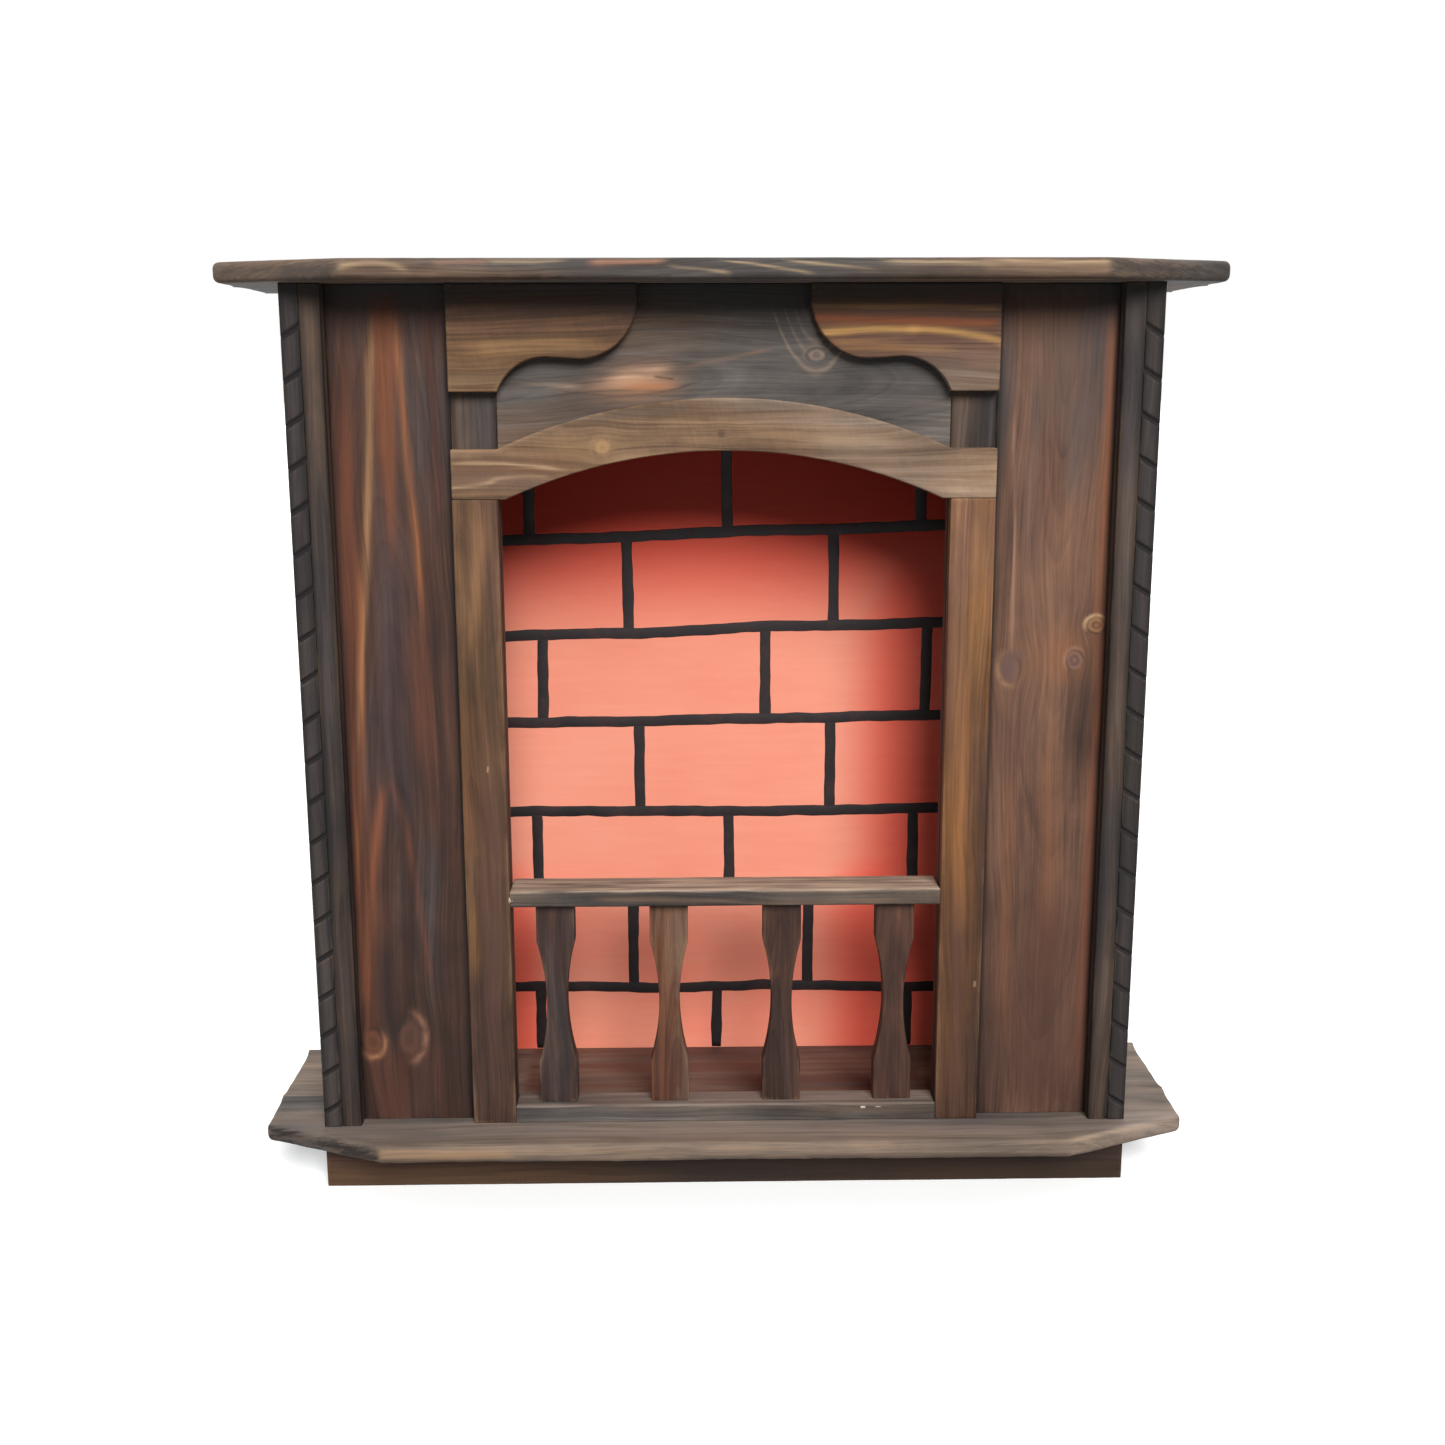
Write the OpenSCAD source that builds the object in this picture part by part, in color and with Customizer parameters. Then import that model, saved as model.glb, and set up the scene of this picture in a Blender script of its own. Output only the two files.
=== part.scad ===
// Decorative fireplace surround: a boarded pine portal with a shallow open
// firebox, a painted brick back panel and a low fret-cut balustrade.
// Millimetres. The origin is the middle of the footprint on the floor,
// +Z is up and the front faces -Y.

/* [Shelf and base] */
// Length of the shelf and of the base board
top_l = 1000; // [960:10:1100]
// Depth of the shelf and of the base board
top_d = 260; // [250:5:300]
// Thickness of the shelf and base boards
top_t = 20; // [18:1:24]
// Length along the front that each clipped corner takes
clip_x = 134; // [60:2:150]
// Depth that each clipped corner takes
clip_y = 57; // [30:1:70]

/* [Body] */
// Width of the body over the notched strips
body_w = 870; // [850:5:900]
// Height of the body between base and shelf
body_h = 885; // [860:5:940]
// How far the base board stands out in front of the body
front_overhang = 50; // [40:1:60]
// Height of the plinth under the base board
plinth_h = 50; // [45:1:60]
// Thickness of a side board
side_t = 21; // [18:1:22]
// Width of a notched strip across the front
strip_w = 19; // [16:1:22]
// Depth of a notched strip
strip_d = 30; // [24:1:40]
// Thickness of the face boards
face_t = 20; // [18:1:22]
// Thickness of columns, arch and corbels
overlay_t = 14; // [12:1:16]
// How far columns, arch and corbels sit behind the edges of the side boards
overlay_setback = 4; // [2:1:6]
// Thickness of the painted back panel
panel_t = 4; // [3:1:6]

/* [Portal] */
// Width of the opening between the columns
opening_w = 456; // [440:2:480]
// Width of a column
column_w = 46; // [40:1:50]
// Height of a column
column_h = 674; // [660:2:680]
// Height of the arch board at its ends
arch_end_h = 50; // [46:1:54]
// Rise of the underside of the arch
arch_rise = 48; // [44:1:48]
// Rise of the top of the arch above its ends
arch_top_rise = 50; // [48:1:54]
// Level landing at each end of the underside of the arch
arch_landing = 8; // [4:1:12]
// Width of a corbel
corbel_w = 188; // [180:1:196]
// Height of a corbel
corbel_h = 105; // [100:1:108]

/* [Balustrade] */
// Height of the rail above the base board
rail_top = 264; // [250:2:280]
// Depth of the rail
rail_d = 48; // [44:1:52]
// Thickness of the rail
rail_t = 18; // [16:1:20]
// How far the rail stands out in front of the columns
rail_proud = 2; // [0:1:3]
// Thickness of the sill
sill_t = 20; // [18:1:22]
// Width of a baluster
baluster_w = 41; // [38:1:44]
// Width of a baluster at its waist
waist_w = 22; // [20:1:26]
// Thickness of a baluster
baluster_t = 20; // [18:1:20]
// Centre distance of the balusters
baluster_pitch = 121; // [116:1:122]

/* [Notches] */
// Distance from one notch to the next
notch_pitch = 43; // [38:1:50]
// Width of a notch at its mouth
notch_w = 8; // [5:1:9]
// Depth of a notch
notch_depth = 3.5; // [2:0.5:5]
// Slope of a notch in degrees
notch_slope = 32; // [20:1:40]

/* [Hidden] */

$fn = 96;
SIDES = [-1, 1];

// Levels
base_z = plinth_h + top_t;
shelf_z = base_z + body_h;
arch_z = base_z + column_h;

// Planes from front to back
front_y = -top_d / 2;
rear_y = top_d / 2;
body_front_y = front_y + front_overhang;
overlay_y = body_front_y + overlay_setback;
face_y = overlay_y + overlay_t;
face_back_y = face_y + face_t;
panel_y = rear_y - panel_t;
face_mid_y = (face_y + face_back_y) / 2;

// Distances from the middle to one side
half_w = body_w / 2;
side_out_x = half_w - strip_w;
side_in_x = side_out_x - side_t;
side_mid_x = (side_in_x + side_out_x) / 2;
column_in_x = opening_w / 2;
column_out_x = column_in_x + column_w;
column_mid_x = (column_in_x + column_out_x) / 2;

// Frieze: its lower edge is hidden behind the arch
frieze_lap = 1;
frieze_z = arch_z + arch_end_h - frieze_lap;

// Corbel outline, measured from its outer lower corner
corbel_foot = 48;
hollow_r = 52;
hollow_x = 97;
hollow_z = -18;
bulge_r = 58;
bulge_z = 90;
throat_z = 32;

// Balusters
baluster_z = base_z + sill_t;
baluster_h = rail_top - rail_t - sill_t;
baluster_y = overlay_y + 10;
scallop_mid = 115;
scallop_chord = 137;

// Plinth and its corner blocks
plinth_t = 20;
block = 30;
block_gap = 2;

// Hidden cleats behind the face boards and under the shelf
cleat_h = 30;
cleat_t = 20;
cleat_mid_z = shelf_z - cleat_h / 2;
batten_h = 40;
batten_t = 20;
batten_in_x = column_in_x + 14;
batten_out_x = side_in_x - 3;
batten_z = [base_z + 60, base_z + 490];

// Fasteners
screw_r = 2;
screw_head_r = 4;
screw_head_h = 2.4;
brad_r = 0.8;
brad_l = 30;
brad_set = 1;
nail_r = 1;
nail_head_r = 3;
nail_head_h = 0.8;
nail_l = 22;

base_screw_l = 50;
base_screw_y = [-16, 24, 64];
face_screw_x = [column_mid_x, 300, 370];
block_screw_l = 58;
shelf_screw_l = 45;
shelf_screw_x = [100, 300];
cleat_screw_l = 35;
cleat_screw_x = [50, 180, 250, 340];
cleat_screw_y = [4, 84];
batten_screw_x = [258, 300, 365];
column_brad_z = [90, 260, 430, 620];
arch_brads = [[250, 26], [130, 61], [45, 74]];
corbel_brads = [[24, 20], [24, 70], [124, 70]];
strip_brad_z = [60, 310, 560, 820];
sill_brad_x = [0, baluster_pitch];
sill_brad_l = 35;
rail_brad_l = 40;
panel_nail_z = [40 : 134 : 850];
panel_nail_x = [70, 210, 350];

// Radius of an arc from half its chord and its height
function arc_r(half_chord, height) = (pow(half_chord, 2) + pow(height, 2)) / (2 * height);

// A cuboid between two corners
module block_between(low, high) {
    translate(low) cube(high - low);
}

// An outline drawn in X and Z, given thickness from y towards the back
module upright(y, t) {
    translate([0, y + t, 0]) rotate([90, 0, 0]) linear_extrude(height = t) children();
}

// ---- fasteners: each points along +Z from its head ----

module screw(l) {
    cylinder(r1 = screw_head_r, r2 = screw_r, h = screw_head_h, $fn = 32);
    translate([0, 0, screw_head_h]) cylinder(r = screw_r, h = l - screw_head_h, $fn = 32);
}

module brad(l = brad_l) {
    cylinder(r = brad_r, h = l, $fn = 16);
}

module nail() {
    cylinder(r = nail_head_r, h = nail_head_h, $fn = 24);
    translate([0, 0, nail_head_h]) cylinder(r = nail_r, h = nail_l - nail_head_h, $fn = 16);
}

// Aims a fastener at the back, at the front or outwards to one side
module to_back(p) {
    translate(p) rotate([-90, 0, 0]) children();
}

module to_front(p) {
    translate(p) rotate([90, 0, 0]) children();
}

module sideways(p, s) {
    translate(p) rotate([0, s * 90, 0]) children();
}

// Two brads through each end of the front and rear plinth boards
module plinth_brads() {
    color("silver") for (s = SIDES, z = [15, 35]) {
        x = s * (half_w - plinth_t / 2);
        to_back([x, body_front_y + brad_set, z]) brad(35);
        to_front([x, rear_y - brad_set, z]) brad(35);
    }
}

// Screws up through the corner blocks into the base boards
module block_screws() {
    color("silver") for (s = SIDES, y = block_mid_y) {
        translate([s * block_mid_x, y, block_gap]) screw(block_screw_l);
    }
}

// Screws up through the base boards into the side and face boards
module base_screws() {
    color("silver") for (s = SIDES) {
        for (y = base_screw_y) {
            translate([s * side_mid_x, y, plinth_h]) screw(base_screw_l);
        }
        for (x = face_screw_x) {
            translate([s * x, face_mid_y, plinth_h]) screw(base_screw_l);
        }
    }
}

// Screws up through the front and rear cleats into the shelf
module shelf_screws() {
    color("silver") for (s = SIDES, x = shelf_screw_x, y = cleat_mid_y) {
        translate([s * x, y, shelf_z - cleat_h]) screw(shelf_screw_l);
    }
}

// Screws that hold the four cleats to the boards around them
module cleat_screws() {
    color("silver") for (s = SIDES) {
        for (x = cleat_screw_x) {
            to_front([s * x, face_back_y + cleat_t, cleat_mid_z]) screw(cleat_screw_l);
        }
        for (y = cleat_screw_y) {
            sideways([s * (side_in_x - cleat_t), y, cleat_mid_z], s) screw(cleat_screw_l);
        }
        to_front([s * (side_in_x - cleat_t / 2), panel_y, cleat_mid_z]) screw(cleat_screw_l);
    }
}

// Screws from behind through the battens into pilasters and stiles
module batten_screws() {
    color("silver") for (s = SIDES, x = batten_screw_x, z = batten_z) {
        to_front([s * x, face_back_y + batten_t, z + batten_h / 2]) screw(cleat_screw_l);
    }
}

// Brads through columns, arch and corbels into the face boards
module overlay_brads() {
    y = overlay_y + brad_set;
    color("silver") for (s = SIDES) {
        for (z = column_brad_z) {
            to_back([s * column_mid_x, y, base_z + z]) brad();
        }
        for (p = arch_brads) {
            to_back([s * p[0], y, arch_z + p[1]]) brad();
        }
        for (p = corbel_brads) {
            to_back([s * (column_out_x - p[0]), y, shelf_z - corbel_h + p[1]]) brad();
        }
    }
}

// Brads from the side through the notched strips into the side boards
module strip_brads() {
    color("silver") for (s = SIDES, z = strip_brad_z) {
        sideways([s * (half_w - brad_set), body_front_y + strip_d / 2, base_z + z], -s) brad();
    }
}

// Brads down through rail and sill and up into the balusters
module balustrade_brads() {
    color("silver") {
        for (i = [0 : 3]) {
            x = baluster_x(i);
            y = baluster_y + baluster_t / 2;
            translate([x, y, base_z + rail_top - brad_set]) rotate([180, 0, 0]) brad(rail_brad_l);
            translate([x, y, base_z + brad_set]) brad(rail_brad_l);
        }
        for (x = [-baluster_pitch, 0, baluster_pitch]) {
            translate([x, sill_mid_y, baluster_z - brad_set]) rotate([180, 0, 0]) brad(sill_brad_l);
        }
    }
}

// Flat-headed nails from behind through the panel
module panel_nails() {
    color("silver") for (s = SIDES) {
        for (z = panel_nail_z) {
            to_front([s * side_mid_x, rear_y, base_z + z]) nail();
        }
        for (x = panel_nail_x) {
            to_front([s * x, rear_y, cleat_mid_z]) nail();
        }
    }
}

// ---- shelf, base and plinth ----

// Outline shared by the shelf and the base: a rectangle with clipped front corners
module top_outline() {
    polygon([
        [-top_l / 2, rear_y], [-top_l / 2, front_y + clip_y], [-top_l / 2 + clip_x, front_y],
        [top_l / 2 - clip_x, front_y], [top_l / 2, front_y + clip_y], [top_l / 2, rear_y]
    ]);
}

// The front or the rear one of the two boards that make up the outline
module half_board(z, s) {
    translate([0, 0, z]) linear_extrude(height = top_t) intersection() {
        top_outline();
        translate([0, s * top_d / 2]) square([top_l + 2, top_d], center = true);
    }
}

module shelf_board(s) {
    color("#4b3f37") difference() {
        half_board(shelf_z, s);
        shelf_screws();
    }
}

module base_board(s) {
    color("#4d423a") difference() {
        half_board(plinth_h, s);
        base_screws();
        block_screws();
        balustrade_brads();
    }
}

module plinth_front() {
    color("#3d332b") difference() {
        block_between([-half_w, body_front_y, 0], [half_w, body_front_y + plinth_t, plinth_h]);
        plinth_brads();
    }
}

module plinth_rear() {
    color("#3d332b") difference() {
        block_between([-half_w, rear_y - plinth_t, 0], [half_w, rear_y, plinth_h]);
        plinth_brads();
    }
}

module plinth_side(s) {
    color("#3d332b") difference() {
        translate([s * (half_w - plinth_t / 2), (body_front_y + rear_y) / 2, plinth_h / 2])
            cube([plinth_t, rear_y - body_front_y - 2 * plinth_t, plinth_h], center = true);
        plinth_brads();
    }
}

// Glue blocks in the four inner corners of the plinth, clear of the floor
module plinth_blocks() {
    color("tan") difference() {
        for (s = SIDES, y = block_mid_y) {
            translate([s * block_mid_x, y, (block_gap + plinth_h) / 2])
                cube([block, block, plinth_h - block_gap], center = true);
        }
        block_screws();
    }
}

// ---- sides ----

module side_board(s) {
    color("#4a403a") difference() {
        translate([s * side_mid_x, (body_front_y + panel_y) / 2, base_z + body_h / 2])
            cube([side_t, panel_y - body_front_y, body_h], center = true);
        base_screws();
        cleat_screws();
        strip_brads();
        panel_nails();
    }
}

// A V-shaped cutter across the front of a strip, lower at its outer end
module notch(s) {
    flare = notch_w / 2 / notch_depth;
    rotate([0, s * notch_slope, 0]) rotate([90, 0, 90])
        linear_extrude(height = 3 * strip_w, center = true)
            polygon([[-1, -notch_w / 2 - flare], [notch_depth, 0], [-1, notch_w / 2 + flare]]);
}

module notched_strip(s) {
    strip_mid_x = side_out_x + strip_w / 2;
    color("#3f3b38") difference() {
        translate([s * strip_mid_x, body_front_y + strip_d / 2, base_z + body_h / 2])
            cube([strip_w, strip_d, body_h], center = true);
        for (z = [notch_pitch / 2 : notch_pitch : body_h]) {
            translate([s * strip_mid_x, body_front_y, base_z + z]) notch(s);
        }
        strip_brads();
    }
}

// ---- face boards ----

// A full-height face board between two distances from the middle
module face_board(s, x_in, x_out) {
    difference() {
        translate([s * (x_in + x_out) / 2, face_mid_y, base_z + body_h / 2])
            cube([x_out - x_in, face_t, body_h], center = true);
        base_screws();
        cleat_screws();
        batten_screws();
        overlay_brads();
    }
}

module pilaster(s) {
    color("#4c3a31") face_board(s, column_out_x, side_in_x);
}

module stile(s) {
    color("#514840") face_board(s, column_in_x, column_out_x);
}

module frieze_board() {
    color("#4c4a49") difference() {
        block_between([-column_in_x, face_y, frieze_z], [column_in_x, face_back_y, shelf_z]);
        cleat_screws();
        overlay_brads();
    }
}

// ---- columns, arch and corbels ----

module column(s) {
    color("#5a4636") difference() {
        translate([s * column_mid_x, overlay_y + overlay_t / 2, base_z + column_h / 2])
            cube([column_w, overlay_t, column_h], center = true);
        overlay_brads();
    }
}

// Arch in X and Z, from the level of its ends upwards
module arch_outline() {
    half = column_in_x - arch_landing;
    under_r = arc_r(half, arch_rise);
    over_r = arc_r(column_in_x, arch_top_rise);
    difference() {
        union() {
            translate([-column_out_x, 0]) square([2 * column_out_x, arch_end_h]);
            intersection() {
                translate([0, arch_end_h + arch_top_rise - over_r]) circle(r = over_r, $fn = 240);
                translate([-column_in_x, 0]) square([2 * column_in_x, 2 * arch_end_h + arch_top_rise]);
            }
        }
        translate([0, arch_rise - under_r]) circle(r = under_r, $fn = 240);
    }
}

module arch_board() {
    color("#6a4f38") difference() {
        upright(overlay_y, overlay_t) translate([0, arch_z]) arch_outline();
        overlay_brads();
    }
}

// Corbel from its outer lower corner: a foot, a hollow and a bulge
module corbel_outline() {
    hollow_top = hollow_z + hollow_r;
    bulge_x = corbel_w - bulge_r;
    difference() {
        square([hollow_x, corbel_h]);
        translate([hollow_x, hollow_z]) circle(r = hollow_r);
    }
    polygon([
        [hollow_x, hollow_top], [bulge_x, throat_z], [bulge_x, corbel_h], [hollow_x, corbel_h]
    ]);
    intersection() {
        translate([bulge_x, bulge_z]) circle(r = bulge_r);
        translate([bulge_x, 0]) square([bulge_r, bulge_z]);
    }
    translate([bulge_x, bulge_z]) square([bulge_r, corbel_h - bulge_z]);
}

module corbel(s) {
    flip = s > 0 ? 1 : 0;
    color("#5b4533") difference() {
        mirror([flip, 0, 0]) upright(overlay_y, overlay_t)
            translate([-column_out_x, shelf_z - corbel_h]) corbel_outline();
        overlay_brads();
    }
}

// ---- balustrade ----

// Distance of a baluster from the middle, counted from the left
function baluster_x(i) = (i - 1.5) * baluster_pitch;

module balustrade_sill() {
    color("#55483e") difference() {
        block_between([-column_in_x, overlay_y, base_z], [column_in_x, face_back_y, baluster_z]);
        balustrade_brads();
    }
}

module balustrade_rail() {
    low = [-column_in_x, overlay_y - rail_proud, base_z + rail_top - rail_t];
    color("#65543f") difference() {
        block_between(low, [column_in_x, overlay_y - rail_proud + rail_d, base_z + rail_top]);
        balustrade_brads();
    }
}

// Flat baluster with a long hollow scalloped out of each edge
module baluster(i) {
    scallop_r = arc_r(scallop_chord / 2, (baluster_w - waist_w) / 2);
    color("#4b3d33") difference() {
        upright(baluster_y, baluster_t) translate([baluster_x(i), baluster_z]) difference() {
            translate([-baluster_w / 2, 0]) square([baluster_w, baluster_h]);
            for (s = SIDES) {
                translate([s * (waist_w / 2 + scallop_r), scallop_mid])
                    circle(r = scallop_r, $fn = 240);
            }
        }
        balustrade_brads();
    }
}

// ---- back panel and hidden timber ----

module brick_panel() {
    color("salmon") difference() {
        block_between([-side_out_x, panel_y, base_z], [side_out_x, rear_y, shelf_z]);
        panel_nails();
    }
}

module cleat_front() {
    color("tan") difference() {
        block_between([-side_in_x, face_back_y, shelf_z - cleat_h],
            [side_in_x, face_back_y + cleat_t, shelf_z]);
        shelf_screws();
        cleat_screws();
    }
}

module cleat_rear() {
    color("tan") difference() {
        block_between([-side_in_x, panel_y - cleat_t, shelf_z - cleat_h],
            [side_in_x, panel_y, shelf_z]);
        shelf_screws();
        cleat_screws();
        panel_nails();
    }
}

module cleat_side(s) {
    y_low = face_back_y + cleat_t;
    y_high = panel_y - cleat_t;
    color("tan") difference() {
        translate([s * (side_in_x - cleat_t / 2), (y_low + y_high) / 2, cleat_mid_z])
            cube([cleat_t, y_high - y_low, cleat_h], center = true);
        cleat_screws();
    }
}

// Horizontal batten that ties a pilaster to its stile
module batten(s, z) {
    color("tan") difference() {
        translate([s * (batten_in_x + batten_out_x) / 2, face_back_y + batten_t / 2, z + batten_h / 2])
            cube([batten_out_x - batten_in_x, batten_t, batten_h], center = true);
        batten_screws();
    }
}

// Places that follow from the values above
block_mid_x = half_w - plinth_t - block / 2;
block_mid_y = [body_front_y + plinth_t + block / 2, rear_y - plinth_t - block / 2];
cleat_mid_y = [face_back_y + cleat_t / 2, panel_y - cleat_t / 2];
sill_mid_y = (overlay_y + face_back_y) / 2;

plinth_front();
plinth_rear();
plinth_side(-1);  // plinth_left
plinth_side(1);  // plinth_right
plinth_blocks();
base_board(-1);  // base_board_front
base_board(1);  // base_board_rear
side_board(-1);  // side_board_left
side_board(1);  // side_board_right
notched_strip(-1);  // notched_strip_left
notched_strip(1);  // notched_strip_right
pilaster(-1);  // pilaster_left
pilaster(1);  // pilaster_right
stile(-1);  // stile_left
stile(1);  // stile_right
frieze_board();
column(-1);  // column_left
column(1);  // column_right
arch_board();
corbel(-1);  // corbel_left
corbel(1);  // corbel_right
balustrade_sill();
balustrade_rail();
baluster(0);  // baluster_1
baluster(1);  // baluster_2
baluster(2);  // baluster_3
baluster(3);  // baluster_4
brick_panel();
shelf_board(-1);  // shelf_board_front
shelf_board(1);  // shelf_board_rear
cleat_front();
cleat_rear();
cleat_side(-1);  // cleat_left
cleat_side(1);  // cleat_right
batten(-1, batten_z[0]);  // batten_left_lower
batten(-1, batten_z[1]);  // batten_left_upper
batten(1, batten_z[0]);  // batten_right_lower
batten(1, batten_z[1]);  // batten_right_upper
plinth_brads();
block_screws();
base_screws();
shelf_screws();
cleat_screws();
batten_screws();
overlay_brads();
strip_brads();
balustrade_brads();
panel_nails();
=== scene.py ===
"""Looks for a boarded, stained pine fireplace surround, built around its CAD frame.

Lengths are metres in the frame's own axes: +Z is up and the front faces -Y.
Every board is a closed mesh with rounded, slightly uneven edges and its own pine.
"""
import math
import random
from typing import NamedTuple

import bmesh
import bpy
from mathutils import Matrix, Vector, noise


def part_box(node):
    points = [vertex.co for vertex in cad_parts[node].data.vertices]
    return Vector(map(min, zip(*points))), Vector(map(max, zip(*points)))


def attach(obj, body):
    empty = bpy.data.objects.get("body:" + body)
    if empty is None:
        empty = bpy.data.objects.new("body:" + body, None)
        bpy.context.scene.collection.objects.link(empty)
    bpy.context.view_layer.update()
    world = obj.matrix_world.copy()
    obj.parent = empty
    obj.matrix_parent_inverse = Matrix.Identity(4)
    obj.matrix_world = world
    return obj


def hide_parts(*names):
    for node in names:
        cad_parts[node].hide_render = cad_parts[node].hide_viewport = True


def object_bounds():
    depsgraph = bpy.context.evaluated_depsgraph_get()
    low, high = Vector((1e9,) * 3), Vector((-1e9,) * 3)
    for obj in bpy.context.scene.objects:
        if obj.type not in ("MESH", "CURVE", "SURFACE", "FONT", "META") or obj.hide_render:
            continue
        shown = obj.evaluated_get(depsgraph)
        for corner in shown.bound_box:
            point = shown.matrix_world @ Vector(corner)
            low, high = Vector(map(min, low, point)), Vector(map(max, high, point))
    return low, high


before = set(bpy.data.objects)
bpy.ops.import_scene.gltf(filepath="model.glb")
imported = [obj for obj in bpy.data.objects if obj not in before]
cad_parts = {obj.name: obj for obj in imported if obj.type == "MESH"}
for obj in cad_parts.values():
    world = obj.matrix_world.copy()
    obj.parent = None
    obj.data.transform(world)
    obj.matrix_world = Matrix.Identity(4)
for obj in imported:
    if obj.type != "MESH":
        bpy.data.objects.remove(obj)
cad_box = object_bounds()

MM = 0.001
SIDES = (("left", -1), ("right", 1))
SHELF_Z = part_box("shelf_board_front")[0].z
WHITE = (1.0, 1.0, 1.0, 1)

# ---------------------------------------------------------------- camera and light

CAMERA_FROM_FRONT = 1.5996
CAMERA_HEIGHT = 0.863
CAMERA_SIDE = -0.0307
CAMERA_YAW = 0.97
CAMERA_PITCH = 11.90
CAMERA_ROLL = -0.135
LENS = 40.70
SENSOR = 36.0


def turned_to(forward, roll=0.0):
    """Rotation that looks along forward, level but for the roll in radians."""
    level = forward.cross(Vector((0, 0, 1))).normalized()
    upright = level.cross(forward)
    right = level * math.cos(roll) + upright * math.sin(roll)
    up = right.cross(forward)
    return Matrix((right, up, -forward)).transposed().to_4x4()


def make_camera():
    """Camera in front of the object, a little left of its middle and looking down."""
    data = bpy.data.cameras.new("camera")
    data.lens = LENS
    data.sensor_width = SENSOR
    data.clip_start = 0.05
    camera = bpy.data.objects.new("camera", data)
    bpy.context.scene.collection.objects.link(camera)
    yaw, pitch = math.radians(CAMERA_YAW), math.radians(CAMERA_PITCH)
    level = math.cos(pitch)
    forward = Vector((math.sin(yaw) * level, math.cos(yaw) * level, -math.sin(pitch)))
    place = Vector((CAMERA_SIDE, cad_box[0].y - CAMERA_FROM_FRONT, CAMERA_HEIGHT))
    camera.matrix_world = Matrix.Translation(place) @ turned_to(forward, math.radians(CAMERA_ROLL))
    bpy.context.scene.camera = camera


def add_sun(name, azimuth, elevation, spread, strength, tint):
    """Broad, even light from one direction; the spread is in degrees."""
    data = bpy.data.lights.new(name, "SUN")
    data.energy = strength
    data.angle = math.radians(spread)
    data.color = tint
    light = bpy.data.objects.new(name, data)
    bpy.context.scene.collection.objects.link(light)
    around, above = math.radians(azimuth), math.radians(elevation)
    back = Vector((math.sin(around) * math.cos(above), -math.cos(around) * math.cos(above), math.sin(above)))
    light.matrix_world = turned_to(-back)


def make_world():
    """Pale surroundings that add only a little light of their own."""
    world = bpy.data.worlds.new("pale_studio")
    bpy.context.scene.world = world
    world.use_nodes = True
    nodes, links = world.node_tree.nodes, world.node_tree.links
    nodes.clear()
    ambient = nodes.new("ShaderNodeBackground")
    ambient.inputs["Color"].default_value = (0.92, 0.96, 1.0, 1)
    ambient.inputs["Strength"].default_value = 0.09
    seen = nodes.new("ShaderNodeBackground")
    seen.inputs["Color"].default_value = WHITE
    path = nodes.new("ShaderNodeLightPath")
    either = nodes.new("ShaderNodeMixShader")
    out = nodes.new("ShaderNodeOutputWorld")
    links.new(path.outputs["Is Camera Ray"], either.inputs[0])
    links.new(ambient.outputs[0], either.inputs[1])
    links.new(seen.outputs[0], either.inputs[2])
    links.new(either.outputs[0], out.inputs["Surface"])


def make_lights():
    """Soft key from above and a little right, a weak fill from the left, and rear and side lights."""
    add_sun("key", 12, 34, 30, 4.0, (1.0, 0.988, 0.970))
    add_sun("fill", -48, 30, 40, 0.35, (0.95, 0.98, 1.0))
    add_sun("rear", 170, 50, 40, 1.5, (0.97, 0.99, 1.0))
    for name, azimuth in (("side_left", -112), ("side_right", 112)):
        add_sun(name, azimuth, 30, 40, 1.0, (0.97, 0.99, 1.0))


# ---------------------------------------------------------------- shader arithmetic


def rgb(red, green, blue):
    """Scene-linear colour from the usual 0 to 255 values."""
    parts = [c / 255 for c in (red, green, blue)]
    linear = [c / 12.92 if c <= 0.04045 else ((c + 0.055) / 1.055) ** 2.4 for c in parts]
    return (*linear, 1.0)


class Field:
    """A value that shader nodes work out; the usual signs add Math nodes."""

    def __init__(self, tree, socket):
        self.tree = tree
        self.socket = socket

    def math(self, operation, *others):
        """Result of a Math node on this field and up to two others."""
        node = self.tree.nodes.new("ShaderNodeMath")
        node.operation = operation
        for entry, value in zip(node.inputs, (self, *others)):
            feed(self.tree, entry, value)
        return Field(self.tree, node.outputs[0])

    def __add__(self, other):
        return self.math("ADD", other)

    def __sub__(self, other):
        return self.math("SUBTRACT", other)

    def __mul__(self, other):
        return self.math("MULTIPLY", other)

    def __truediv__(self, other):
        return self.math("DIVIDE", other)

    def __abs__(self):
        return self.math("ABSOLUTE")

    def squared(self):
        """The field times itself."""
        return self.math("MULTIPLY", self)

    def between(self, low, high, start=0.0, end=1.0, smooth=True):
        """Start below low, end above high, and a ramp in between."""
        node = self.tree.nodes.new("ShaderNodeMapRange")
        node.interpolation_type = "SMOOTHSTEP" if smooth else "LINEAR"
        for entry, value in zip(node.inputs, (self, low, high, start, end)):
            feed(self.tree, entry, value)
        return Field(self.tree, node.outputs[0])

    def bell(self, width):
        """One where the value is zero, fading over the width."""
        return (self / width).squared().math("MULTIPLY", -1.0).math("EXPONENT")


def feed(tree, entry, value):
    """Link a field to a socket, or set a plain number or colour on it."""
    if isinstance(value, Field):
        tree.links.new(value.socket, entry)
    else:
        entry.default_value = value


def vector(tree, x, y, z):
    """Point made of three fields or numbers."""
    node = tree.nodes.new("ShaderNodeCombineXYZ")
    for entry, value in zip(node.inputs, (x, y, z)):
        feed(tree, entry, value)
    return Field(tree, node.outputs[0])


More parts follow.
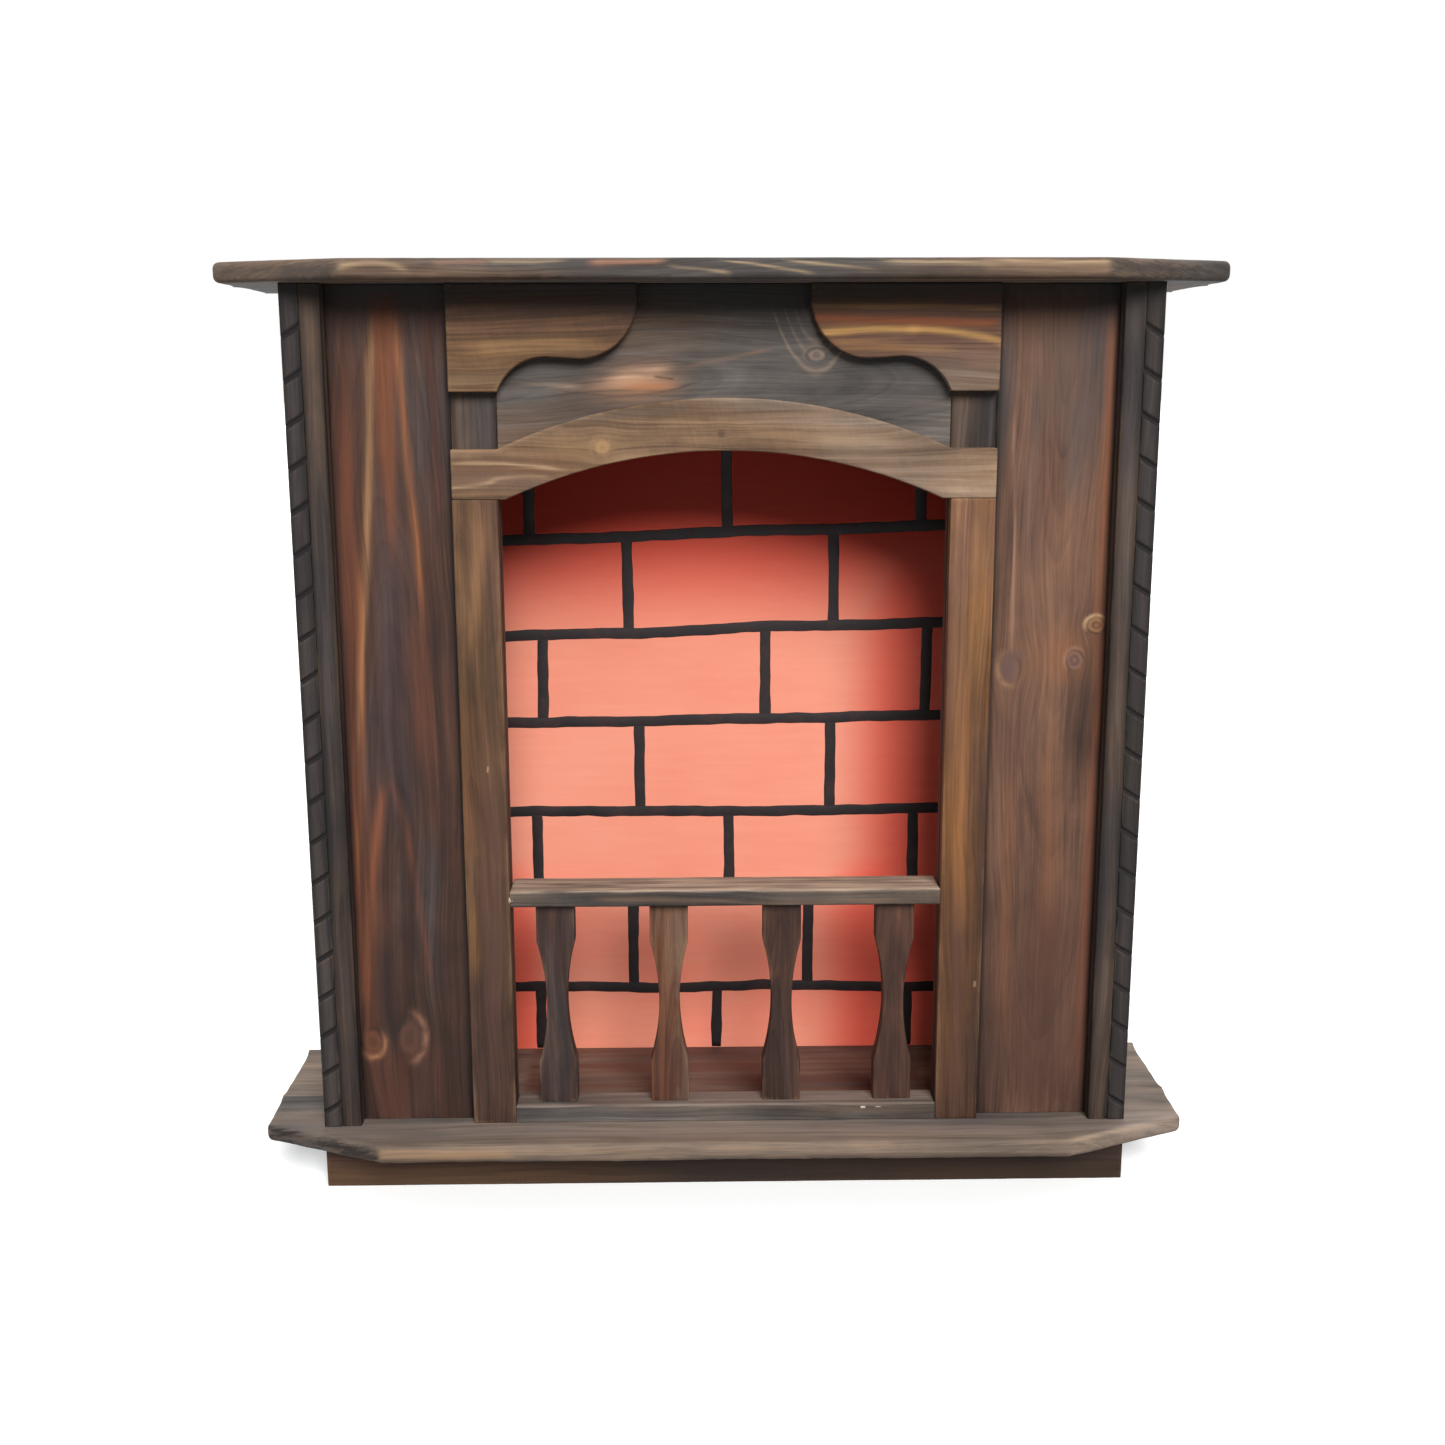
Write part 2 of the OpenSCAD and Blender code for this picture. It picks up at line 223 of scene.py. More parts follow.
def noise_3d(tree, where, detail=3.0, roughness=0.55, distortion=0.0):
    """Cloudy noise from 0 to 1 at a point."""
    node = tree.nodes.new("ShaderNodeTexNoise")
    feed(tree, node.inputs["Vector"], where)
    node.inputs["Scale"].default_value = 1.0
    node.inputs["Detail"].default_value = detail
    node.inputs["Roughness"].default_value = roughness
    node.inputs["Distortion"].default_value = distortion
    return Field(tree, node.outputs["Fac"])


def noise_1d(tree, where, detail=3.0, roughness=0.55):
    """Noise from 0 to 1 along a single number, for bands."""
    node = tree.nodes.new("ShaderNodeTexNoise")
    node.noise_dimensions = "1D"
    feed(tree, node.inputs["W"], where)
    node.inputs["Scale"].default_value = 1.0
    node.inputs["Detail"].default_value = detail
    node.inputs["Roughness"].default_value = roughness
    return Field(tree, node.outputs["Fac"])


def blend(tree, share, first, second):
    """First colour where the share is 0 and second where it is 1."""
    node = tree.nodes.new("ShaderNodeMix")
    node.data_type = "RGBA"
    feed(tree, node.inputs[0], share)
    feed(tree, node.inputs[6], first)
    feed(tree, node.inputs[7], second)
    return Field(tree, node.outputs[2])


def ramp(tree, value, colours, low=0.0, high=1.0):
    """Even steps through the colours as the value goes from low to high."""
    node = tree.nodes.new("ShaderNodeValToRGB")
    feed(tree, node.inputs[0], value.between(low, high, smooth=False))
    stops = node.color_ramp.elements
    while len(stops) < len(colours):
        stops.new(0.5)
    for i, colour in enumerate(colours):
        stops[i].position = i / (len(colours) - 1)
        stops[i].color = colour
    return Field(tree, node.outputs[0])


def finish(tree, shader, colour, roughness, specular=0.5):
    """Colour and roughness of a surface, each a field or a plain value."""
    feed(tree, shader.inputs["Base Color"], colour)
    feed(tree, shader.inputs["Roughness"], roughness)
    shader.inputs["Specular IOR Level"].default_value = specular


def new_material(name):
    """Empty material with a Principled surface; gives the material, its tree and the shader."""
    material = bpy.data.materials.new(name)
    material.use_nodes = True
    tree = material.node_tree
    shader = tree.nodes["Principled BSDF"]
    return material, tree, shader


def object_axes(tree):
    """The frame's X, Y and Z at the shaded point."""
    where = tree.nodes.new("ShaderNodeTexCoord")
    split = tree.nodes.new("ShaderNodeSeparateXYZ")
    tree.links.new(where.outputs["Object"], split.inputs[0])
    return [Field(tree, s) for s in split.outputs]


def attribute(tree, name):
    """Value that the mesh carries on its points."""
    node = tree.nodes.new("ShaderNodeAttribute")
    node.attribute_name = name
    return Field(tree, node.outputs["Fac"])


def set_bump(tree, shader, height, depth, strength=1.0):
    """Fine relief from a field of heights, of the given depth in metres."""
    node = tree.nodes.new("ShaderNodeBump")
    node.inputs["Strength"].default_value = strength
    node.inputs["Distance"].default_value = depth
    feed(tree, node.inputs["Height"], height)
    tree.links.new(node.outputs[0], shader.inputs["Normal"])


# ---------------------------------------------------------------- stained pine

# Steps from dark to light for each family of stain
WALNUT = (rgb(30, 20, 17), rgb(56, 38, 32), rgb(84, 57, 46), rgb(122, 80, 57))
RUSSET = (rgb(40, 24, 19), rgb(76, 48, 37), rgb(112, 70, 48), rgb(160, 102, 62))
SLATE = (rgb(28, 25, 26), rgb(52, 46, 46), rgb(78, 70, 68), rgb(120, 108, 100))
HONEY = (rgb(50, 36, 26), rgb(90, 66, 46), rgb(134, 100, 66), rgb(186, 142, 94))
AMBER = (rgb(52, 33, 22), rgb(96, 64, 38), rgb(144, 98, 58), rgb(192, 140, 84))
DRIFT = (rgb(74, 63, 55), rgb(110, 96, 85), rgb(146, 127, 111), rgb(186, 164, 142))
UMBER = (rgb(44, 34, 28), rgb(80, 64, 54), rgb(116, 94, 78), rgb(164, 136, 110))
MOCHA = (rgb(48, 33, 27), rgb(84, 60, 49), rgb(122, 89, 71), rgb(164, 122, 95))
PEWTER = (rgb(38, 35, 35), rgb(66, 62, 60), rgb(96, 90, 86), rgb(138, 128, 118))
FAWN = (rgb(60, 45, 35), rgb(102, 79, 60), rgb(146, 116, 89), rgb(192, 160, 126))
COAL = (rgb(24, 21, 20), rgb(44, 39, 37), rgb(66, 58, 54), rgb(96, 86, 78))
RAW = (rgb(150, 112, 74), rgb(186, 148, 104), rgb(206, 172, 128), rgb(222, 194, 154))

# Steps of the other finishes
SALMON = (rgb(230, 138, 114), rgb(236, 148, 124), rgb(240, 156, 134))
# Deeper red that stands in for shade and red bounce light on the panel
PAINTED_SHADE_RED = (rgb(252, 84, 66), rgb(254, 94, 74), rgb(255, 106, 86))
HARDBOARD = (rgb(92, 66, 44), rgb(128, 94, 64), rgb(150, 114, 80))
LAMP_BLACK = (rgb(24, 20, 21), rgb(36, 28, 30), rgb(62, 42, 40))
STEEL = (rgb(120, 112, 104), rgb(168, 166, 162), rgb(188, 188, 186))
PUTTY = (rgb(150, 128, 100), rgb(190, 170, 138), rgb(206, 190, 160))

ORANGE = rgb(156, 98, 62)
RUST = rgb(128, 68, 46)
TAN = rgb(170, 128, 90)
PALE = rgb(206, 172, 132)
DARK_GRAIN_AND_SHADE = rgb(30, 26, 27)
SHADE = rgb(8, 7, 7)
SMOKE = rgb(70, 66, 72)
PLUM = rgb(82, 62, 64)


class Vein(NamedTuple):
    """Soft streak between two points (along, across); wide is its reach to each side at both ends."""

    start: tuple
    end: tuple
    wide: tuple
    tint: tuple
    strength: float = 0.6
    fade: float = 0.2
    bow: float = 0.0


class Knot(NamedTuple):
    """Knot of radius r at u along the grain and v across; lit points at its pale crescent."""

    u: float
    v: float
    r: float
    heart: tuple = RUST
    ring: tuple = DARK_GRAIN_AND_SHADE
    halo: tuple = ORANGE
    stretch: float = 1.0
    strength: float = 0.5
    halo_strength: float = 0.55
    lit: tuple = (-0.6, 0.6)


def pine_axes(tree, grain):
    """Along the grain, across it on the face, and into the board."""
    x, y, z = object_axes(tree)
    if grain == "XY":
        return x, y + z, z
    return {"Z": (z, x, y), "X": (x, z, y), "ZY": (z, y, x)}[grain]


def knot_distance(u, v, knot):
    """Distance from a knot in its own radii, and how far along and across the grain."""
    along = (u - knot.u) / (knot.r * knot.stretch)
    across = (v - knot.v) / knot.r
    return (along.squared() + across.squared()).math("SQRT"), along, across


def bend_round_knots(v, u, knots):
    """Pushes the rings aside so that they flow round each knot."""
    for knot in knots:
        distance, _, across = knot_distance(u, v, knot)
        push = across / (distance + 0.45) * distance.bell(2.6)
        v = v - push * (knot.r * 0.9)
    return v


def paint_veins(colour, u, v, veins, breakup):
    """Lays soft coloured streaks over the wood along gently bowed lines."""
    for vein in veins:
        (u0, v0), (u1, v1) = vein.start, vein.end
        along = (u - u0) / (u1 - u0)
        bow = along * (along - 1.0) * (-4.0 * vein.bow)
        middle = along * (v1 - v0) + v0 + bow
        width = along.between(0.0, 1.0, *vein.wide, smooth=False)
        ends = along.between(0.0, vein.fade) * along.between(1.0 - vein.fade, 1.0, 1.0, 0.0)
        mask = ((v - middle) / width).bell(1.0) * ends
        mask = mask * breakup.between(0.38, 0.62, 0.35, 1.0) * vein.strength
        colour = blend(u.tree, mask, colour, vein.tint)
    return colour


def paint_knots(colour, wood, knots):
    """Uneven rings inside each knot, a broken dark rim and a pale crescent on one side."""
    tree, cloud, curl = colour.tree, wood.cloud, wood.curl
    for knot in knots:
        distance, along, across = knot_distance(wood.u, wood.v, knot)
        distance = distance + (curl - 0.5) * 0.45 + (cloud - 0.5) * 0.8
        crescent = (along * knot.lit[0] + across * knot.lit[1]).between(-0.5, 0.9)
        crescent = crescent * curl.between(0.35, 0.55, 0.4, 1.0)
        halo = (distance - 1.15).bell(0.26) * crescent * knot.halo_strength
        colour = blend(tree, halo, colour, knot.halo)
        rings = (distance * 8.0 + cloud * 12.0).math("SINE").between(-1.0, 1.0, 0.1, 0.8)
        heart = blend(tree, rings, knot.heart, knot.ring)
        inside = distance.between(0.6, 1.15, 1.0, 0.0)
        colour = blend(tree, inside * knot.strength, colour, heart)
        rim = (distance - 1.0).bell(0.14) * curl.between(0.40, 0.6) * 0.4
        colour = blend(tree, rim, colour, DARK_GRAIN_AND_SHADE)
    return colour


RING_SPACING = 4.2 * MM
# Reach of the shade at a joint, the depth over which it ends, and its reach below the shelf
JOINT_SHADE = 4.5 * MM
SHADED_DEPTH = (4 * MM, 9 * MM)
SHELF_SHADE = 26 * MM


class GrainFields:
    """Noise of one board; u runs along the grain, v across it and w into the board."""

    def __init__(self, tree, grain, seed, knots, pith, band, span):
        self.u, self.v, self.w = u, v, w = pine_axes(tree, grain)
        shift = seed * 3.17

        def drawn_out(along, fine, detail, roughness=0.55, side=v, start=shift, distortion=0.0):
            """Noise that is longer along the grain than across it."""
            where = vector(tree, u * along + start, side * fine, w * fine)
            return noise_3d(tree, where, detail, roughness, distortion)

        self.ripple = drawn_out(9.0, 45.0, 2.0) - 0.5
        sway = drawn_out(2.3, 7.0, 2.0) - 0.5
        bent = bend_round_knots(v, u, knots) + sway * 0.045 + self.ripple * 0.003
        self.curl = drawn_out(60.0, 60.0, 3.0)
        self.fibre = drawn_out(9.0, 420.0, 4.0, 0.65, bent)
        self.streak = drawn_out(2.6, 95.0, 6.0, 0.65, bent)
        self.broad = drawn_out(1.3, 28.0, 4.0, 0.6, bent, -shift)
        self.cloud = drawn_out(6.0, 12.0, 5.0, 0.62, distortion=0.3)
        self.stain = noise_3d(tree, vector(tree, u * 2.6 - shift, v * 10.0, w * 10.0 + 3.0), 3.0, 0.5)
        self.add_rings(tree, bent, shift, pith, band, span)

    def add_rings(self, tree, bent, shift, pith, band, span):
        """Growth rings round the pith and the broader bands of colour that follow them."""
        across, behind, lean = pith
        depth = self.w + (self.u - (span[0] + span[1]) / 2) * lean + behind
        ring = ((bent - across).squared() + depth.squared()).math("SQRT")
        self.bands = noise_1d(tree, ring / band + shift, 5.0, 0.62)
        late = (ring / RING_SPACING + self.ripple * 0.6).math("FRACT")
        faint = noise_1d(tree, (ring / RING_SPACING).math("FLOOR") * 7.3 + shift, 0.0)
        late_wood = late.between(0.35, 0.95) * late.between(0.95, 1.0, 1.0, 0.0)
        self.rings = late_wood * faint.between(0.35, 0.7)


def pine_tone(tree, wood, contrast, blotch, chatter):
    """From dark at 0 to light at 1; chatter adds the fine cross marks of a plane."""
    tone = (wood.bands - 0.5) * (0.55 * contrast) + (wood.streak - 0.5) * (0.75 * contrast) + 0.5
    tone = tone + (wood.broad - 0.5) * (0.55 * contrast) + (wood.fibre - 0.5) * 0.58
    tone = tone + (wood.cloud - 0.5) * (0.85 * blotch) - wood.rings * (0.10 * contrast)
    if chatter:
        slanted = vector(tree, wood.u * 300.0 + wood.v * 90.0, wood.v * 16.0, wood.w * 16.0)
        tone = tone + (noise_3d(tree, slanted, 3.0, 0.6) - 0.5) * chatter
    return tone


def shade_joints(tree, colour, wood, node, lines):
    """Painted shade: dark lines on an upright board's front, along its two edges and at other places across
    it, such as the edge of the column in front of it.
    """
    low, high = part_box(node)
    on_front = wood.w.between(low.y + SHADED_DEPTH[0], low.y + SHADED_DEPTH[1], 1.0, 0.0)
    for line in (low.x, high.x, *lines):
        dark = (wood.v - line).bell(JOINT_SHADE) * (wood.cloud * 0.6 + 0.5) * on_front
        colour = blend(tree, dark, colour, SHADE)
    return colour


def pine(name, seed, grain="Z", warm=WALNUT, cool=SLATE, cool_share=0.4, pith=(0.0, 0.05, 0.02),
         band=0.02, contrast=1.0, blotch=1.0, lift=(0.0, 0.0), span=(0.0, 1.0), light=0.0,
         knots=(), veins=(), rub=0.25, rub_tint=TAN, edges_of=None, lines=(), shade_below_shelf=False,
         chatter=0.0):
    """Stained, brushed pine, with painted shade along joints and under the shelf where asked, and in the
    notches of the strips. Pith is (place across, depth behind the face, lean along the grain).
    """
    material, tree, shader = new_material(name)
    wood = GrainFields(tree, grain, seed, knots, pith, band, span)
    drift = wood.u.between(*span, *lift, smooth=False)
    tone = pine_tone(tree, wood, contrast, blotch, chatter) + drift + light
    middle = 0.5 + (0.5 - cool_share) * 0.3
    hue = (wood.stain + (wood.bands - 0.5) * 0.3).between(middle - 0.13, middle + 0.13, 1.0, 0.0)
    colour = blend(tree, hue, ramp(tree, tone, cool), ramp(tree, tone, warm))
    wavering = wood.v + wood.ripple * 0.006 + (wood.fibre - 0.5) * 0.003
    colour = paint_veins(colour, wood.u, wavering, veins, wood.streak)
    colour = paint_knots(colour, wood, knots)
    if edges_of:
        colour = shade_joints(tree, colour, wood, edges_of, lines)
    # Painted shadow of the shelf on the boards under it, strongest just below it.
    if shade_below_shelf:
        height = object_axes(tree)[2]
        colour = blend(tree, (height - SHELF_Z).bell(SHELF_SHADE) * 0.95, colour, SHADE)
    patchy = (wood.cloud * 0.65 + wood.fibre * 0.35).between(0.47, 0.62, 0.0, 1.0)
    colour = blend(tree, attribute(tree, "wear") * patchy * rub, colour, rub_tint)
    # Painted shade in the notches of the strips, darker the deeper the cut.
    colour = blend(tree, attribute(tree, "notch_shade"), colour, DARK_GRAIN_AND_SHADE)
    finish(tree, shader, colour, (wood.fibre - 0.5) * 0.25 + wood.cloud * 0.2 + 0.58, 0.22)
    set_bump(tree, shader, wood.fibre * 0.5 + wood.streak * 0.6 - wood.rings * 0.4, 0.35 * MM, 0.8)
    return material


# ---------------------------------------------------------------- other finishes


def painted_shade_parts(x, z, patches):
    """Where painted shade and red bounce light turn the paint a deeper red: the top under the arch, the right
    side in the column's shadow, and low down on the left and round the posts.
    """
    upper = (z + patches * 0.06).between(0.58, 0.74)
    low = z.between(0.26, 0.32, 1.0, 0.0)
    right = (x + patches * 0.05 + low * 0.04).between(0.155, 0.235) * 0.8
    left = (x + patches * 0.03).between(-0.225, -0.185, 1.0, 0.0) * low * 0.7
    behind_posts = low * patches.between(0.4, 0.6) * 0.3
    return upper.math("MAXIMUM", right).math("MAXIMUM", left).math("MAXIMUM", behind_posts)


def unpainted_parts(x, y):
    """The panel's back and edges, and the strips of its front that the side boards cover."""
    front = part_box("brick_panel")[0].y + 2 * LINE_PROUD
    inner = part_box("side_board_right")[0].x
    hidden = abs(x).between(inner + 4 * MM, inner + 6 * MM)
    return y.between(front + 0.3 * MM, front + 0.8 * MM).math("MAXIMUM", hidden)


def salmon_paint():
    """Matt salmon paint, with painted shade and red bounce light in deeper red, on the front of the panel and
    bare hardboard on its back.
    """
    material, tree, shader = new_material("panel_paint")
    x, y, z = object_axes(tree)
    strokes = noise_3d(tree, vector(tree, x * 14.0, y * 5.0, z * 160.0), 4.0, 0.6)
    patches = noise_3d(tree, vector(tree, x * 4.0, y, z * 5.0), 4.0, 0.55)
    grit = noise_3d(tree, vector(tree, x * 900.0, y * 900.0, z * 900.0), 2.0)
    tone = patches * 0.7 + strokes * 0.3
    salmon = ramp(tree, tone, SALMON, 0.3, 0.7)
    # Painted shade and red bounce light deepen the salmon where the panel lies in shadow.
    paint = blend(tree, painted_shade_parts(x, z, patches), salmon, ramp(tree, tone, PAINTED_SHADE_RED, 0.3, 0.7))
    back = ramp(tree, grit * 0.6 + patches * 0.4, HARDBOARD, 0.3, 0.7)
    finish(tree, shader, blend(tree, unpainted_parts(x, y), paint, back), strokes * 0.2 + 0.62, 0.3)
    set_bump(tree, shader, strokes * 0.7 + grit * 0.3, 0.12 * MM, 0.6)
    return material


def line_paint():
    """Black brush paint of the mortar lines."""
    material, tree, shader = new_material("mortar_paint")
    x, y, z = object_axes(tree)
    strokes = noise_3d(tree, vector(tree, x * 60.0, y * 5.0, z * 60.0), 4.0, 0.6, 0.8)
    thin = noise_3d(tree, vector(tree, x * 18.0, y, z * 18.0), 2.0)
    colour = ramp(tree, strokes * 0.6 + thin * 0.4, LAMP_BLACK, 0.3, 0.75)
    finish(tree, shader, colour, strokes * 0.3 + 0.5, 0.3)
    set_bump(tree, shader, strokes, 0.1 * MM, 0.5)
    return material


def brushed_steel():
    """Plain steel for screws, brads and nails, with a little tarnish."""
    material, tree, shader = new_material("fastener_steel")
    x, y, z = object_axes(tree)
    tarnish = noise_3d(tree, vector(tree, x * 400.0, y * 400.0, z * 400.0), 3.0)
    finish(tree, shader, ramp(tree, tarnish, STEEL, 0.3, 0.7), tarnish * 0.3 + 0.28)
    shader.inputs["Metallic"].default_value = 1.0
    return material


def wood_filler():
    """Pale filler left in a joint."""
    material, tree, shader = new_material("filler")
    x, y, z = object_axes(tree)
    grain = noise_3d(tree, vector(tree, x * 700.0, y * 700.0, z * 700.0), 3.0)
    finish(tree, shader, ramp(tree, grain, PUTTY, 0.3, 0.7), 0.8)
    set_bump(tree, shader, grain, 0.3 * MM)
    return material


def pale_floor():
    """Plain pale studio floor that gives off a little light of its own."""
    material, tree, shader = new_material("studio_floor")
    x, y, z = object_axes(tree)
    tone = noise_3d(tree, vector(tree, x * 1.5, y * 1.5, z), 2.0)
    finish(tree, shader, ramp(tree, tone, (rgb(244, 245, 246), rgb(248, 249, 250))), 0.9, 0.1)
    shader.inputs["Emission Color"].default_value = WHITE
    shader.inputs["Emission Strength"].default_value = 0.22
    return material


# ---------------------------------------------------------------- boards

# Steps round an edge or a corner, and how far the wear reaches from it
ARC_STEPS = 4
FADE = 3.0 * MM
# Space between points along a straight run, and the room left free of them at its ends
STEP = 11.0 * MM
CORNER_CLEARANCE = 7.0 * MM
# How far a point on a straight run can be inset, and the least turn that is rounded
FAR = 1.0
LEAST_TURN = 0.03
# Distance below which two vertices are one
WELD = 0.02 * MM


class RimPoint:
    """A point of an outline that knows how it moves as the outline shrinks."""

    def __init__(self, place, outward, radius=FAR, inward=Vector((0, 0)), wear=0.0):
        self.place = place
        self.outward = outward
        self.radius = radius
        self.inward = inward
        self.wear = wear

    def inset(self, distance):
        """Place of the point when the outline has shrunk by a distance."""
        straight = min(distance, self.radius)
        return self.place - self.outward * straight + self.inward * (distance - straight)


def corner_points(before, here, after, radius):
    """Rim points at one corner of an anticlockwise outline: an arc outside, a mitre inside."""
    run_in, run_out = (here - before).normalized(), (after - here).normalized()
    normal_in, normal_out = Vector((run_in.y, -run_in.x)), Vector((run_out.y, -run_out.x))
    mitre = (normal_in + normal_out) / (1.0 + normal_in.dot(normal_out))
    turn = math.atan2(run_in.cross(run_out), run_in.dot(run_out))
    if turn < LEAST_TURN:
        return [RimPoint(here, mitre, wear=0.4)]
    centre = here - mitre * radius
    start = math.atan2(normal_in.y, normal_in.x)
    points = []
    for i in range(ARC_STEPS + 1):
        angle = start + turn * i / ARC_STEPS
        outward = Vector((math.cos(angle), math.sin(angle)))
        points.append(RimPoint(centre + outward * radius, outward, radius, -mitre, 1.0))
    return points


def rim_of(outline, radius):
    """Dense rim for an outline of corners (a, b) and of points on curves (a, b, True)."""
    count = len(outline)
    flat = [Vector(p[:2]) for p in outline]
    sharp = [flat[i] for i in range(count) if len(outline[i]) == 2]
    groups = []
    for i, point in enumerate(outline):
        before, after = flat[i - 1], flat[(i + 1) % count]
        if len(point) == 3:
            if min((flat[i] - corner).length for corner in sharp) < CORNER_CLEARANCE:
                continue
            run = (after - before).normalized()
            groups.append([RimPoint(flat[i], Vector((run.y, -run.x)))])
        else:
            corner = radius(flat[i]) if callable(radius) else radius
            groups.append(corner_points(before, flat[i], after, corner))
    rim = []
    for i, group in enumerate(groups):
        rim += group
        start, end = group[-1].place, groups[(i + 1) % len(groups)][0].place
        run = end - start
        if run.length > 3 * CORNER_CLEARANCE:
            outward = Vector((run.y, -run.x)).normalized()
            clear = CORNER_CLEARANCE / run.length
            parts = max(2, round((run.length - 2 * CORNER_CLEARANCE) / STEP))
            for k in range(parts + 1):
                rim.append(RimPoint(start + run * (clear + (1 - 2 * clear) * k / parts), outward))
    return rim


def uneven(place, seed):
    """Smooth factor near 1 that varies along an edge, as hand sanding leaves it."""
    slow = noise.noise(Vector((place.x * 14, place.y * 14, seed * 5.3)))
    quick = noise.noise(Vector((place.x * 70, place.y * 70, seed * 5.3 + 40)))
    return max(0.45, 1.0 + 0.45 * slow + 0.3 * quick)


def rings_between(low, high, radius):
    """(inset, level, wear) of each ring from the low face to the high one, for one edge radius."""
    room = max(0.0, (high - low) / 2 - radius)
    fade = min(FADE, room * 0.8)
    arc = [math.pi / 2 * i / ARC_STEPS for i in range(ARC_STEPS + 1)]
    lower = []
    for angle in arc:
        across, along = radius * (1 - math.sin(angle)), radius * (1 - math.cos(angle))
        lower.append((across, along, 0.5 + 0.5 * math.sin(2 * angle)))
    start = [(radius + FADE, 0.0, 0.0), *lower, (0.0, radius + fade, 0.0)]
    return [(i, low + t, w) for i, t, w in start] + [(i, high - t, w) for i, t, w in reversed(start)]


def to_front(a, b, level):
    """An outline in X and Z that gets its thickness along Y."""
    return Vector((a, level, b))


def to_top(a, b, level):
    """An outline in X and Y that gets its thickness along Z."""
    return Vector((a, b, level))


def board_mesh(name, rim, low, high, radius, place, seed):
    """Closed prism over a rim; the radius of its edges wanders a little."""
    builder = bmesh.new()
    wear_layer = builder.verts.layers.float.new("wear")
    columns = []
    for point in rim:
        edge = radius(point.place) if callable(radius) else radius
        edge *= uneven(point.place, seed)
        column = []
        for inset, level, wear in rings_between(low, high, min(edge, (high - low) * 0.45)):
            flat = point.inset(inset)
            vertex = builder.verts.new(place(flat.x, flat.y, level))
            on_wall = inset < edge + FADE * 0.5
            vertex[wear_layer] = max(wear, point.wear) if on_wall else 0.0
            column.append(vertex)
        columns.append(column)
    for i, column in enumerate(columns):
        following = columns[(i + 1) % len(columns)]
        for k in range(len(column) - 1):
            builder.faces.new((column[k], following[k], following[k + 1], column[k + 1]))
    builder.faces.new([c[0] for c in reversed(columns)])
    builder.faces.new([c[-1] for c in columns])
    return finished_mesh(name, builder)


def finished_mesh(name, builder):
    """Tidies the mesh, shades all but its many-sided flat faces smooth and turns it into data."""
    bmesh.ops.remove_doubles(builder, verts=builder.verts, dist=WELD)
    bmesh.ops.dissolve_degenerate(builder, edges=builder.edges, dist=WELD)
    bmesh.ops.recalc_face_normals(builder, faces=builder.faces)
    for face in builder.faces:
        face.smooth = len(face.verts) <= 4
    data = bpy.data.meshes.new(name)
    builder.to_mesh(data)
    builder.free()
    return data


def add_piece(name, data, material, nodes):
    """Puts a mesh in the scene as a piece of the object that stands for its CAD nodes."""
    piece = bpy.data.objects.new(name, data)
    bpy.context.scene.collection.objects.link(piece)
    data.materials.append(material)
    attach(piece, "root")
    if nodes:
        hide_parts(*nodes)
    return piece


def rectangle(low_a, low_b, high_a, high_b):
    """Anticlockwise corners of a box."""
    return [(low_a, low_b), (high_a, low_b), (high_a, high_b), (low_a, high_b)]


def arc_points(centre, radius, start, end, steps, ends=True):
    """Points on a curve from one angle to another, in degrees."""
    picked = range(steps + 1) if ends else range(1, steps)
    points = []
    for i in picked:
        angle = math.radians(start + (end - start) * i / steps)
        points.append((centre[0] + radius * math.cos(angle), centre[1] + radius * math.sin(angle), True))
    return points


def seed_of(node):
    """Number that differs from node to node and never changes."""
    return sum(ord(letter) for letter in node) % 97


def box_board(node, material, slot, radius=1.2 * MM, corner=1.2 * MM, flat=False, shrink=0.0):
    """Rounded board that fills a CAD node's box; a flat one gets its thickness along Z."""
    low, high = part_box(node)
    pull = Vector((shrink, shrink, shrink))
    low, high = low + pull, high - pull
    if flat:
        rim = rim_of(rectangle(low.x, low.y, high.x, high.y), corner)
        data = board_mesh(node, rim, low.z, high.z, radius, to_top, seed_of(node))
    else:
        rim = rim_of(rectangle(low.x, low.z, high.x, high.z), corner)
        data = board_mesh(node, rim, low.y, high.y, radius, to_front, seed_of(node))
    return add_piece(f"{node}_wood", data, material, [node])


# ---------------------------------------------------------------- shelf, base and plinth

CLIP_X = 134 * MM
CLIP_Y = 57 * MM
# Edge radius outside, how far from the joint it is reached, and the radius at the joint itself
NOSE = 6.0 * MM
NOSE_RUN = 12 * MM
JOINT_RADIUS = 0.8 * MM
# Radii of the corners seen from above
TIP_RADIUS = 10 * MM
JOINT_CORNER = 4 * MM
REAR_CORNER = 1.5 * MM


def nosed(joint_y):
    """Edge radius of shelf and base: generous outside, small along the joint and at the back."""
    def radius(place):
        """Radius of the edge at a place on the outline."""
        away = min(abs(place.y - joint_y), cad_box[1].y - place.y, NOSE_RUN) / NOSE_RUN
        return JOINT_RADIUS + (NOSE - JOINT_RADIUS) * away
    return radius


def half_top(node, material, front):
    """Front or rear board of the shelf or of the base."""
    low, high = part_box(node)
    if front:
        outline = [
            (low.x, high.y), (low.x, low.y + CLIP_Y), (low.x + CLIP_X, low.y),
            (high.x - CLIP_X, low.y), (high.x, low.y + CLIP_Y), (high.x, high.y),
        ]
    else:
        outline = rectangle(low.x, low.y, high.x, high.y)
    joint = high.y if front else low.y

    def corner(place):
        """The clipped corners are sanded rounder than the others."""
        if not front:
            return REAR_CORNER
        return JOINT_CORNER if place.y > joint - MM else TIP_RADIUS

    rim = rim_of(outline, corner)
    data = board_mesh(node, rim, low.z, high.z, nosed(joint), to_top, seed_of(node))
    return add_piece(f"{node}_wood", data, material, [node])


